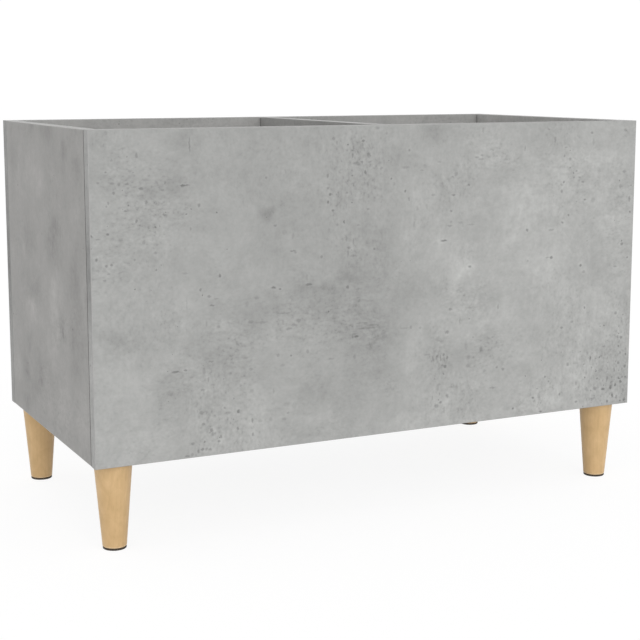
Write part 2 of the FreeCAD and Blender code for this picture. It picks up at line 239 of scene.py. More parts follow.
# Where the front's pits crowd together, in the same shares, and how thickly
FRONT_PIT_SHARES = [
    (0.070, 0.720, 0.080, 0.100, 0.14),
    (0.195, 0.120, 0.060, 0.080, 0.12),
    (0.463, 0.900, 0.050, 0.050, 0.10),
    (0.416, 0.780, 0.040, 0.070, 0.07),
    (0.965, 0.115, 0.075, 0.095, 0.50),
    (0.860, 0.080, 0.080, 0.060, 0.16),
    (0.604, 0.180, 0.022, 0.085, 0.09),
    (0.860, 0.790, 0.045, 0.045, 0.18),
    (0.705, 0.895, 0.036, 0.016, 0.12),
    (0.980, 0.740, 0.028, 0.085, 0.16),
    (0.798, 0.055, 0.030, 0.030, 0.20),
]

# The front's plainest pits and cracks: across and up as shares, half length and half height in metres,
# and how dark
FRONT_MARK_SHARES = [
    (0.158, 0.953, 0.0010, 0.0080, 0.50),
    (0.150, 0.832, 0.0055, 0.0010, 0.75),
    (0.146, 0.830, 0.0024, 0.0014, 0.60),
    (0.130, 0.272, 0.0045, 0.0012, 0.75),
    (0.147, 0.274, 0.0020, 0.0013, 0.75),
    (0.296, 0.507, 0.0028, 0.0013, 0.90),
    (0.307, 0.501, 0.0016, 0.0011, 0.80),
    (0.357, 0.509, 0.0040, 0.0013, 0.75),
    (0.607, 0.621, 0.0042, 0.0014, 0.95),
    (0.824, 0.541, 0.0024, 0.0019, 0.95),
    (0.816, 0.542, 0.0026, 0.0009, 0.50),
    (0.887, 0.507, 0.0018, 0.0018, 0.95),
    (0.773, 0.640, 0.0018, 0.0018, 0.80),
    (0.658, 0.530, 0.0020, 0.0016, 0.85),
    (0.205, 0.555, 0.0013, 0.0022, 0.80),
    (0.009, 0.625, 0.0013, 0.0020, 0.80),
    (0.032, 0.608, 0.0016, 0.0015, 0.70),
    (0.395, 0.787, 0.0017, 0.0014, 0.80),
    (0.391, 0.764, 0.0012, 0.0021, 0.85),
    (0.400, 0.737, 0.0015, 0.0013, 0.70),
    (0.420, 0.699, 0.0012, 0.0019, 0.80),
    (0.443, 0.330, 0.0032, 0.0012, 0.80),
    (0.475, 0.608, 0.0016, 0.0014, 0.60),
    (0.612, 0.201, 0.0019, 0.0019, 0.85),
    (0.683, 0.248, 0.0024, 0.0036, 0.55),
    (0.716, 0.387, 0.0010, 0.0030, 0.60),
    (0.751, 0.030, 0.0017, 0.0014, 0.90),
    (0.809, 0.008, 0.0020, 0.0013, 0.90),
    (0.792, 0.059, 0.0018, 0.0017, 0.80),
    (0.234, 0.129, 0.0018, 0.0020, 0.90),
    (0.172, 0.137, 0.0025, 0.0020, 0.55),
    (0.233, 0.076, 0.0016, 0.0016, 0.70),
    (0.157, 0.044, 0.0026, 0.0018, 0.60),
    (0.258, 0.050, 0.0013, 0.0022, 0.60),
    (0.454, 0.951, 0.0018, 0.0015, 0.80),
    (0.458, 0.853, 0.0012, 0.0024, 0.80),
    (0.435, 0.907, 0.0014, 0.0026, 0.60),
    (0.464, 0.905, 0.0020, 0.0034, 0.45),
    (0.506, 0.830, 0.0013, 0.0013, 0.75),
    (0.532, 0.788, 0.0014, 0.0017, 0.80),
    (0.728, 0.172, 0.0022, 0.0018, 0.60),
    (0.846, 0.659, 0.0017, 0.0014, 0.75),
    (0.892, 0.734, 0.0018, 0.0012, 0.70),
    (0.847, 0.797, 0.0013, 0.0019, 0.80),
    (0.654, 0.800, 0.0016, 0.0015, 0.70),
    (0.989, 0.524, 0.0015, 0.0012, 0.80),
    (0.976, 0.573, 0.0024, 0.0018, 0.75),
    (0.990, 0.729, 0.0014, 0.0040, 0.55),
    (0.765, 0.914, 0.0010, 0.0035, 0.55),
    (0.038, 0.816, 0.0016, 0.0016, 0.65),
    (0.055, 0.763, 0.0022, 0.0011, 0.60),
    (0.072, 0.732, 0.0014, 0.0024, 0.70),
    (0.914, 0.176, 0.0012, 0.0030, 0.80),
    (0.976, 0.150, 0.0020, 0.0022, 0.75),
    (0.944, 0.061, 0.0030, 0.0019, 0.95),
    (0.954, 0.015, 0.0016, 0.0018, 0.90),
    (0.992, 0.014, 0.0022, 0.0018, 0.85),
    (0.926, 0.066, 0.0030, 0.0026, 0.65),
    (0.898, 0.358, 0.0014, 0.0018, 0.75),
    (0.938, 0.180, 0.0024, 0.0020, 0.50),
    (0.943, 0.213, 0.0026, 0.0012, 0.50),
    (0.991, 0.135, 0.0022, 0.0020, 0.80),
    (0.980, 0.185, 0.0018, 0.0020, 0.60),
    (0.981, 0.240, 0.0018, 0.0022, 0.75),
    (0.973, 0.243, 0.0016, 0.0022, 0.50),
    (0.968, 0.125, 0.0014, 0.0026, 0.55),
    (0.972, 0.140, 0.0012, 0.0020, 0.50),
    (0.980, 0.092, 0.0022, 0.0010, 0.70),
    (0.982, 0.081, 0.0018, 0.0022, 0.75),
    (0.971, 0.071, 0.0014, 0.0022, 0.85),
    (0.961, 0.065, 0.0018, 0.0032, 0.85),
    (0.930, 0.101, 0.0018, 0.0014, 0.70),
    (0.907, 0.069, 0.0022, 0.0022, 0.45),
    (0.965, 0.033, 0.0018, 0.0026, 0.90),
    (0.974, 0.027, 0.0018, 0.0024, 0.60),
    (0.983, 0.011, 0.0018, 0.0012, 0.80),
    (0.989, 0.048, 0.0014, 0.0028, 0.60),
    (0.952, 0.095, 0.0014, 0.0040, 0.50),
    (0.921, 0.031, 0.0022, 0.0016, 0.50),
    (0.914, 0.031, 0.0012, 0.0022, 0.45),
    (0.885, 0.027, 0.0020, 0.0014, 0.70),
    (0.884, 0.092, 0.0014, 0.0026, 0.50),
    (0.849, 0.061, 0.0014, 0.0016, 0.60),
    (0.805, 0.063, 0.0026, 0.0034, 0.40),
    (0.865, 0.164, 0.0018, 0.0022, 0.60),
    (0.850, 0.295, 0.0022, 0.0014, 0.65),
    (0.967, 0.329, 0.0024, 0.0020, 0.55),
    (0.871, 0.313, 0.0024, 0.0014, 0.45),
    (0.894, 0.484, 0.0024, 0.0018, 0.50),
    (0.963, 0.495, 0.0026, 0.0010, 0.50),
    (0.823, 0.636, 0.0040, 0.0012, 0.45),
    (0.969, 0.775, 0.0020, 0.0030, 0.50),
    (0.977, 0.825, 0.0026, 0.0016, 0.50),
    (0.843, 0.766, 0.0016, 0.0022, 0.50),
    (0.842, 0.788, 0.0022, 0.0016, 0.45),
    (0.887, 0.795, 0.0022, 0.0014, 0.60),
    (0.873, 0.833, 0.0018, 0.0012, 0.60),
    (0.868, 0.811, 0.0016, 0.0010, 0.50),
    (0.880, 0.811, 0.0020, 0.0010, 0.55),
    (0.910, 0.731, 0.0034, 0.0030, 0.30),
    (0.847, 0.885, 0.0013, 0.0020, 0.65),
    (0.859, 0.875, 0.0022, 0.0018, 0.60),
    (0.850, 0.914, 0.0022, 0.0012, 0.45),
    (0.904, 0.961, 0.0022, 0.0014, 0.60),
    (0.827, 0.940, 0.0016, 0.0040, 0.45),
    (0.908, 0.930, 0.0016, 0.0044, 0.35),
    (0.977, 0.968, 0.0024, 0.0020, 0.45),
    (0.813, 0.976, 0.0020, 0.0010, 0.55),
    (0.024, 0.605, 0.0020, 0.0014, 0.60),
    (0.027, 0.581, 0.0016, 0.0012, 0.55),
    (0.021, 0.563, 0.0018, 0.0012, 0.45),
    (0.027, 0.698, 0.0016, 0.0014, 0.75),
    (0.003, 0.693, 0.0018, 0.0012, 0.55),
    (0.012, 0.684, 0.0026, 0.0010, 0.45),
    (0.029, 0.788, 0.0012, 0.0018, 0.50),
    (0.014, 0.847, 0.0018, 0.0012, 0.45),
    (0.035, 0.845, 0.0022, 0.0012, 0.45),
    (0.046, 0.842, 0.0018, 0.0022, 0.40),
    (0.058, 0.842, 0.0026, 0.0012, 0.60),
    (0.080, 0.827, 0.0028, 0.0014, 0.55),
    (0.088, 0.785, 0.0014, 0.0024, 0.50),
    (0.102, 0.784, 0.0022, 0.0022, 0.40),
    (0.116, 0.747, 0.0024, 0.0012, 0.50),
    (0.158, 0.702, 0.0014, 0.0018, 0.45),
    (0.172, 0.771, 0.0014, 0.0020, 0.55),
    (0.083, 0.668, 0.0018, 0.0020, 0.45),
    (0.101, 0.635, 0.0022, 0.0014, 0.45),
    (0.074, 0.924, 0.0014, 0.0030, 0.50),
    (0.114, 0.821, 0.0022, 0.0014, 0.45),
    (0.118, 0.842, 0.0012, 0.0020, 0.45),
    (0.175, 0.102, 0.0022, 0.0020, 0.60),
    (0.188, 0.080, 0.0018, 0.0022, 0.70),
    (0.191, 0.067, 0.0022, 0.0022, 0.60),
    (0.185, 0.072, 0.0012, 0.0012, 0.50),
    (0.195, 0.070, 0.0012, 0.0014, 0.50),
    (0.201, 0.042, 0.0018, 0.0016, 0.75),
    (0.204, 0.056, 0.0012, 0.0024, 0.55),
    (0.173, 0.023, 0.0020, 0.0016, 0.75),
    (0.179, 0.022, 0.0016, 0.0016, 0.60),
    (0.186, 0.020, 0.0018, 0.0016, 0.60),
    (0.166, 0.019, 0.0014, 0.0024, 0.65),
    (0.148, 0.007, 0.0030, 0.0012, 0.55),
    (0.156, 0.010, 0.0018, 0.0020, 0.45),
    (0.216, 0.128, 0.0040, 0.0018, 0.40),
    (0.211, 0.145, 0.0014, 0.0014, 0.60),
    (0.258, 0.095, 0.0013, 0.0028, 0.65),
    (0.290, 0.093, 0.0022, 0.0026, 0.26),
    (0.313, 0.088, 0.0028, 0.0018, 0.38),
    (0.271, 0.091, 0.0026, 0.0016, 0.28),
    (0.320, 0.106, 0.0016, 0.0012, 0.40),
    (0.331, 0.127, 0.0030, 0.0040, 0.18),
    (0.318, 0.133, 0.0040, 0.0026, 0.18),
    (0.300, 0.121, 0.0120, 0.0022, 0.14),
    (0.175, 0.208, 0.0026, 0.0014, 0.45),
    (0.184, 0.238, 0.0010, 0.0030, 0.45),
    (0.177, 0.266, 0.0018, 0.0044, 0.35),
    (0.121, 0.208, 0.0040, 0.0034, 0.28),
    (0.257, 0.189, 0.0022, 0.0022, 0.28),
    (0.256, 0.258, 0.0030, 0.0018, 0.32),
    (0.221, 0.251, 0.0022, 0.0018, 0.28),
    (0.238, 0.209, 0.0018, 0.0016, 0.35),
    (0.303, 0.293, 0.0020, 0.0020, 0.45),
    (0.311, 0.260, 0.0030, 0.0016, 0.30),
    (0.355, 0.296, 0.0018, 0.0026, 0.45),
    (0.295, 0.182, 0.0012, 0.0030, 0.30),
    (0.189, 0.294, 0.0030, 0.0012, 0.45),
    (0.192, 0.221, 0.0030, 0.0010, 0.30),
    (0.440, 0.339, 0.0026, 0.0012, 0.40),
    (0.436, 0.331, 0.0012, 0.0024, 0.40),
    (0.465, 0.354, 0.0160, 0.0012, 0.26),
    (0.452, 0.372, 0.0080, 0.0010, 0.25),
    (0.476, 0.362, 0.0060, 0.0012, 0.30),
    (0.466, 0.299, 0.0050, 0.0010, 0.25),
    (0.545, 0.344, 0.0016, 0.0022, 0.50),
    (0.534, 0.343, 0.0060, 0.0010, 0.28),
    (0.563, 0.339, 0.0022, 0.0016, 0.35),
    (0.615, 0.317, 0.0030, 0.0020, 0.65),
    (0.598, 0.296, 0.0040, 0.0030, 0.26),
    (0.609, 0.242, 0.0016, 0.0022, 0.75),
    (0.616, 0.231, 0.0016, 0.0022, 0.65),
    (0.610, 0.227, 0.0010, 0.0034, 0.50),
    (0.603, 0.231, 0.0010, 0.0040, 0.50),
    (0.596, 0.234, 0.0010, 0.0040, 0.40),
    (0.588, 0.232, 0.0012, 0.0030, 0.45),
    (0.621, 0.392, 0.0024, 0.0018, 0.60),
    (0.640, 0.350, 0.0010, 0.0050, 0.40),
    (0.665, 0.392, 0.0080, 0.0014, 0.32),
    (0.653, 0.266, 0.0024, 0.0060, 0.24),
    (0.667, 0.291, 0.0014, 0.0012, 0.45),
    (0.658, 0.224, 0.0030, 0.0030, 0.30),
    (0.658, 0.197, 0.0030, 0.0024, 0.35),
    (0.716, 0.180, 0.0018, 0.0018, 0.60),
    (0.691, 0.174, 0.0024, 0.0018, 0.35),
    (0.708, 0.111, 0.0045, 0.0012, 0.45),
    (0.604, 0.082, 0.0018, 0.0016, 0.75),
    (0.596, 0.071, 0.0030, 0.0024, 0.50),
    (0.617, 0.102, 0.0018, 0.0024, 0.55),
    (0.602, 0.111, 0.0010, 0.0018, 0.50),
    (0.598, 0.132, 0.0022, 0.0040, 0.40),
    (0.601, 0.143, 0.0024, 0.0012, 0.40),
    (0.628, 0.130, 0.0080, 0.0014, 0.30),
    (0.588, 0.100, 0.0012, 0.0024, 0.40),
    (0.611, 0.053, 0.0012, 0.0040, 0.35),
    (0.577, 0.248, 0.0050, 0.0010, 0.32),
    (0.440, 0.264, 0.0018, 0.0024, 0.35),
    (0.397, 0.265, 0.0045, 0.0012, 0.35),
    (0.401, 0.960, 0.0022, 0.0020, 0.45),
    (0.407, 0.947, 0.0010, 0.0026, 0.40),
    (0.466, 0.885, 0.0020, 0.0013, 0.50),
    (0.452, 0.885, 0.0016, 0.0012, 0.65),
    (0.443, 0.881, 0.0045, 0.0022, 0.45),
    (0.488, 0.865, 0.0018, 0.0016, 0.40),
    (0.391, 0.846, 0.0013, 0.0024, 0.55),
    (0.391, 0.807, 0.0018, 0.0014, 0.45),
    (0.437, 0.815, 0.0012, 0.0022, 0.45),
    (0.425, 0.790, 0.0018, 0.0012, 0.40),
    (0.511, 0.813, 0.0020, 0.0022, 0.30),
    (0.539, 0.762, 0.0012, 0.0020, 0.50),
    (0.539, 0.918, 0.0015, 0.0018, 0.60),
    (0.509, 0.925, 0.0030, 0.0050, 0.22),
    (0.533, 0.864, 0.0050, 0.0016, 0.35),
    (0.596, 0.878, 0.0026, 0.0012, 0.35),
    (0.624, 0.769, 0.0030, 0.0012, 0.65),
    (0.620, 0.717, 0.0016, 0.0014, 0.60),
    (0.629, 0.838, 0.0024, 0.0024, 0.40),
    (0.622, 0.828, 0.0018, 0.0012, 0.40),
    (0.669, 0.889, 0.0030, 0.0013, 0.50),
    (0.678, 0.883, 0.0034, 0.0014, 0.45),
    (0.679, 0.895, 0.0022, 0.0014, 0.45),
    (0.693, 0.889, 0.0026, 0.0012, 0.35),
    (0.680, 0.977, 0.0014, 0.0034, 0.35),
    (0.618, 0.669, 0.0034, 0.0012, 0.50),
    (0.620, 0.681, 0.0018, 0.0018, 0.40),
    (0.639, 0.678, 0.0030, 0.0014, 0.35),
    (0.659, 0.669, 0.0050, 0.0011, 0.35),
    (0.549, 0.679, 0.0016, 0.0034, 0.35),
    (0.555, 0.731, 0.0016, 0.0030, 0.30),
    (0.573, 0.736, 0.0012, 0.0030, 0.30),
    (0.585, 0.772, 0.0026, 0.0014, 0.35),
    (0.464, 0.736, 0.0020, 0.0012, 0.35),
    (0.446, 0.687, 0.0020, 0.0012, 0.35),
    (0.480, 0.990, 0.0026, 0.0018, 0.45),
    (0.497, 0.973, 0.0018, 0.0014, 0.35),
    (0.569, 0.866, 0.0026, 0.0024, 0.28),
    (0.563, 0.853, 0.0022, 0.0010, 0.35),
    (0.173, 0.516, 0.0014, 0.0018, 0.65),
    (0.187, 0.494, 0.0024, 0.0015, 0.60),
    (0.191, 0.466, 0.0030, 0.0011, 0.65),
    (0.199, 0.485, 0.0026, 0.0008, 0.40),
    (0.202, 0.399, 0.0024, 0.0022, 0.45),
    (0.427, 0.492, 0.0020, 0.0022, 0.65),
    (0.380, 0.593, 0.0014, 0.0020, 0.50),
    (0.329, 0.617, 0.0040, 0.0010, 0.55),
    (0.334, 0.612, 0.0016, 0.0014, 0.45),
    (0.315, 0.677, 0.0034, 0.0026, 0.24),
    (0.330, 0.664, 0.0016, 0.0034, 0.28),
    (0.354, 0.531, 0.0016, 0.0036, 0.30),
    (0.429, 0.616, 0.0020, 0.0016, 0.45),
    (0.427, 0.598, 0.0014, 0.0040, 0.30),
    (0.436, 0.590, 0.0045, 0.0012, 0.30),
    (0.437, 0.636, 0.0010, 0.0040, 0.35),
    (0.424, 0.645, 0.0012, 0.0034, 0.30),
    (0.266, 0.479, 0.0034, 0.0016, 0.35),
    (0.250, 0.462, 0.0022, 0.0034, 0.25),
    (0.256, 0.405, 0.0034, 0.0020, 0.35),
    (0.275, 0.401, 0.0070, 0.0014, 0.30),
    (0.339, 0.397, 0.0034, 0.0020, 0.45),
    (0.331, 0.384, 0.0040, 0.0016, 0.40),
    (0.322, 0.374, 0.0040, 0.0016, 0.40),
    (0.313, 0.424, 0.0070, 0.0010, 0.35),
    (0.312, 0.395, 0.0014, 0.0026, 0.30),
    (0.150, 0.476, 0.0010, 0.0070, 0.22),
    (0.182, 0.412, 0.0012, 0.0040, 0.25),
    (0.148, 0.569, 0.0040, 0.0012, 0.28),
    (0.299, 0.699, 0.0020, 0.0012, 0.50),
    (0.408, 0.691, 0.0016, 0.0016, 0.35),
    (0.445, 0.483, 0.0026, 0.0014, 0.35),
    (0.436, 0.430, 0.0060, 0.0022, 0.22),
]

# The same for the left side, whose shares run from the back edge to the front one
SIDE_CLOUD_SHARES = [
    (0.61, 0.65, 0.09, 0.08, -0.16),
    (0.62, 0.70, 0.04, 0.05, -0.08),
    (0.31, 0.62, 0.08, 0.06, -0.10),
    (0.36, 0.48, 0.09, 0.05, -0.09),
    (0.68, 0.38, 0.03, 0.05, -0.14),
    (0.80, 0.37, 0.05, 0.05, -0.08),
    (0.81, 0.27, 0.05, 0.03, -0.09),
    (0.84, 0.53, 0.05, 0.08, -0.07),
    (0.84, 0.42, 0.09, 0.20, -0.07),
    (0.23, 0.16, 0.05, 0.05, -0.15),
    (0.27, 0.26, 0.06, 0.04, -0.12),
    (0.40, 0.15, 0.04, 0.04, -0.08),
    (0.22, 0.05, 0.06, 0.04, -0.14),
    (0.28, 0.12, 0.16, 0.14, -0.05),
    (0.75, 0.92, 0.05, 0.05, -0.13),
    (0.88, 0.88, 0.05, 0.05, -0.11),
    (0.13, 0.88, 0.06, 0.06, -0.09),
    (0.55, 0.98, 0.06, 0.04, -0.11),
    (0.37, 0.99, 0.04, 0.03, -0.13),
    (0.40, 0.45, 0.07, 0.04, -0.08),
    (0.34, 0.11, 0.11, 0.06, -0.06),
    (0.47, 0.81, 0.06, 0.05, 0.12),
    (0.22, 0.79, 0.07, 0.06, 0.09),
    (0.31, 0.36, 0.06, 0.05, 0.13),
    (0.61, 0.49, 0.07, 0.07, 0.12),
    (0.55, 0.27, 0.07, 0.06, 0.10),
    (0.85, 0.75, 0.06, 0.04, 0.07),
    (0.10, 0.15, 0.07, 0.06, 0.10),
    (0.47, 0.07, 0.09, 0.05, 0.07),
    (0.88, 0.13, 0.07, 0.12, 0.12),
    (0.35, 0.86, 0.14, 0.10, 0.09),
    (0.36, 0.36, 0.12, 0.05, 0.09),
    (0.61, 0.38, 0.06, 0.11, 0.16),
    (0.69, 0.13, 0.10, 0.12, 0.12),
    (0.77, 0.37, 0.09, 0.10, 0.05),
    (0.17, 0.08, 0.06, 0.08, 0.06),
    (0.38, 0.32, 0.08, 0.04, 0.05),
    (0.34, 0.41, 0.05, 0.03, -0.07),
    (0.94, 0.47, 0.03, 0.06, 0.05),
    (0.50, 0.52, 0.04, 0.10, 0.04),
    (0.57, 0.79, 0.07, 0.06, -0.04),
    (0.23, 0.65, 0.05, 0.06, -0.04),
    (0.91, 0.81, 0.03, 0.07, -0.05),
    (0.50, -0.01, 0.50, 0.03, 0.05),
]
SIDE_ROUGH_SHARES = [
    (0.600, 0.380, 0.250, 0.080, 0.40),
    (0.650, 0.100, 0.300, 0.100, 0.40),
    (0.250, 0.850, 0.200, 0.150, -0.30),
]
SIDE_LYING_SHARES = [
    (0.650, 0.100, 0.300, 0.120, 0.50),
    (0.600, 0.650, 0.150, 0.150, -0.50),
]
SIDE_PIT_SHARES = [
    (0.75, 0.38, 0.10, 0.05, 0.05),
    (0.92, 0.92, 0.06, 0.05, 0.05),
]
SIDE_MARK_SHARES = [
    (0.69, 0.36, 0.0030, 0.0060, 0.35),
    (0.69, 0.68, 0.0020, 0.0080, 0.22),
    (0.42, 0.15, 0.0030, 0.0060, 0.25),
]

# Darker and paler stretches of the edging on the front's and back's left ends, in the left side's shares
LEFT_END_SHARES = [
    (0.98, 0.50, 0.10, 1.20, -0.04),
    (0.98, 0.59, 0.10, 0.19, -0.26),
    (0.98, 0.85, 0.10, 0.10, -0.05),
    (0.98, 0.14, 0.10, 0.20, 0.04),
    (0.02, 0.50, 0.10, 0.60, -0.19),
    (0.02, 0.52, 0.10, 0.21, -0.25),
    (0.02, 0.85, 0.10, 0.18, -0.10),
    (0.02, 0.97, 0.10, 0.08, -0.10),
    (0.02, 0.25, 0.10, 0.12, -0.05),
    (0.02, 0.04, 0.10, 0.08, -0.09),
]

# The print's clouds, mottling and stains, and how they are broken up: sizes in metres, depths as shares
# of the colour
CLOUD_SIZE = 0.18
CLOUD_TWIST = 0.3
CLOUD_DEPTH = 0.22
MOTTLE_SIZE = 0.055
MOTTLE_DETAIL = 5.0
MOTTLE_ROUGHNESS = 0.86
MOTTLE_TWIST = 0.2
MOTTLE_DEPTH = 0.58
STAIN_SIZE = 0.075
STAIN_TWIST = 0.4
STAIN_DEPTH = 0.42
BREAK_SIZE = 0.011
BREAK_USUAL = 2.2

# Its streaks, dabs and flecks, which lie across the board in some parts and stand in others, and where
# it is rough with them
LYING_SIZE = 0.10
LYING_EDGE = 0.08
ROUGH_SIZE = 0.07
ROUGH_GAIN = 1.6
ROUGH_USUAL = 0.35
ROUGH_LEAST = 0.30
STREAK_LENGTH = 0.055
STREAK_THICKNESS = 0.0060
STREAK_DEPTH = 0.17
DAB_LENGTH = 0.013
DAB_THICKNESS = 0.0075
DAB_DEPTH = 0.26
FLECK_LENGTH = 0.0044
FLECK_THICKNESS = 0.0033
FLECK_DEPTH = 0.44
FLECK_TAIL = 0.11
TAIL_START = -0.10
TAIL_END = -0.26

# Its scattered pits, their pale fringes and their crowds: radii as shares of the spacing, rims and cores
# as shares of a pit's own radius
PIT_SPACING = 0.0062
PIT_SMALLEST = 0.09
PIT_SPREAD = 0.15
PIT_RIM = 1.6
PIT_CORE = 0.4
PIT_FAINTEST = 0.20
PIT_DARKNESS = 0.43
FRINGE_RIM = 3.0
FRINGE_CORE = 1.5
FRINGE_PALENESS = 0.035
CROWD_SIZE = 0.11
CROWD_START = 0.02
CROWD_END = 0.20
CROWD_SPARSEST = 0.2
CROWD_THICKEST = 4.0

# The patches and marks from the tables: how far they reach in their own half sizes, how a mark falls
# from its dark middle to its pale fringe, and how their outlines are pushed about
PATCH_REACH = 1.5
MARK_REACH = 3.0
MARK_FALL = [(0.0, 1.0), (0.17, 1.0), (0.43, 0.0), (0.60, -0.12), (1.0, 0.0)]
WARP_SIZE = 0.05
WARP_REACH = 0.045
RAGGED_SIZE = 0.0030
RAGGED_REACH = 0.0026

# How much of all this each kind of board has
FACED_CLOUDS = 0.45
FACED_PIT_COVER = 0.004
SIDE_FINE_DEPTH = 0.78
PLAIN_ROUGH = 0.18
PLAIN_PIT_COVER = 0.07
EDGING_PIT_COVER = 0.02
END_PIT_COVER = 0.01
END_BREAK = 0.4

# How the print keeps a board's faces apart: a number for each way that a face looks, a step for its
# depth, how squarely it has to look that way, and how far its pits slide from face to face
FACE_NUMBERS = (3.1, 7.7, 12.3)
LAYER_STEP = 7.0
FACE_LIMIT = 0.7
LAYER_SHIFT = (2.3, 1.7, 1.0)

# The boards' matt face: how it spreads light, how much more in pits, and its grain's size and height
# in metres
BOARD_ROUGHNESS = 0.60
PIT_ROUGHNESS = 0.20
GRAIN_SIZE = 0.0028
BOARD_GRAIN = 0.00008
BOARD_GLOSS = 0.16

# Which part of the printed sheet each board without a print of its own is cut from
BOARD_SHEET = 0.0
EDGING_SHEET = 5.0
RIGHT_SHEET = 11.0
DIVIDER_SHEET = 17.0

# Painted shade in the thin line where a board's end meets the panel in front: metres, and how dark
JOINT_REACH = 0.0011
JOINT_FADE = 0.0008
JOINT_SHADE_DARKNESS = 0.62

# Wood, turned from sticks whose heart lies off to one side: sizes in metres, depths as shares of the
# colour, and how far each thing is drawn out along the stick
HEART_PLACE = (0.06, 0.035, 0.0)
BEND_STRETCH = (1.0, 1.0, 0.16)
BEND_SIZE = 0.03
BEND_REACH = 0.012
RING_SHARPNESS = 3.0
RING_DEPTH = 0.035
FIBRE_STRETCH = (1.0, 1.0, 0.03)
FIBRE_SIZE = 0.0009
FIBRE_DEPTH = 0.09
BLOTCH_STRETCH = (1.0, 1.0, 0.55)
BLOTCH_SIZE = 0.014
BLOTCH_DEPTH = 0.34
CHIP_STRETCH = (1.0, 1.0, 0.22)
CHIP_SPACING = 0.0021
CHIP_SHARE = 0.18
CHIP_RIM = 0.34
CHIP_CORE = 0.10
CHIP_DEPTH = 0.06
WOOD_LEVEL = 0.01
RED_POWER = 0.85
BLUE_POWER = 1.35

# The legs' lacquer and the paler ring round their feet, and the raw dowels
RING_SPACING = 0.0052
LEG_FIGURE = 1.3
LEG_ROUGHNESS = 0.45
FIBRE_ROUGHNESS = 0.20
LEG_GRAIN = 0.00006
LEG_GLOSS = 0.40
BEVEL_TOP = 0.0046
BEVEL_BASE = 0.0034
BEVEL_TINT = (0.22, 0.34, 0.62)
DOWEL_RING_SPACING = 0.002
DOWEL_FIGURE = 1.4
DOWEL_ROUGHNESS = 0.8
DOWEL_GRAIN = 0.0001

# Fine finishes: how large the texture is in metres, its contrast, the roughness, the texture's height
# in metres, and whether it is metal
RUBBER_TEXTURE = (0.0012, 0.50, 0.75, 0.0002, 0.0)
ZINC_TEXTURE = (0.0008, 0.25, 0.42, 0.00012, 1.0)
STEEL_TEXTURE = (0.0005, 0.15, 0.30, 0.00004, 1.0)

# How far apart nodes stand in the editor, full white, and the kinds of sockets
NODE_SPACING = 180
WHITE = (1.0, 1.0, 1.0, 1.0)
FLOAT = "NodeSocketFloat"
VECTOR = "NodeSocketVector"
COLOUR = "NodeSocketColor"


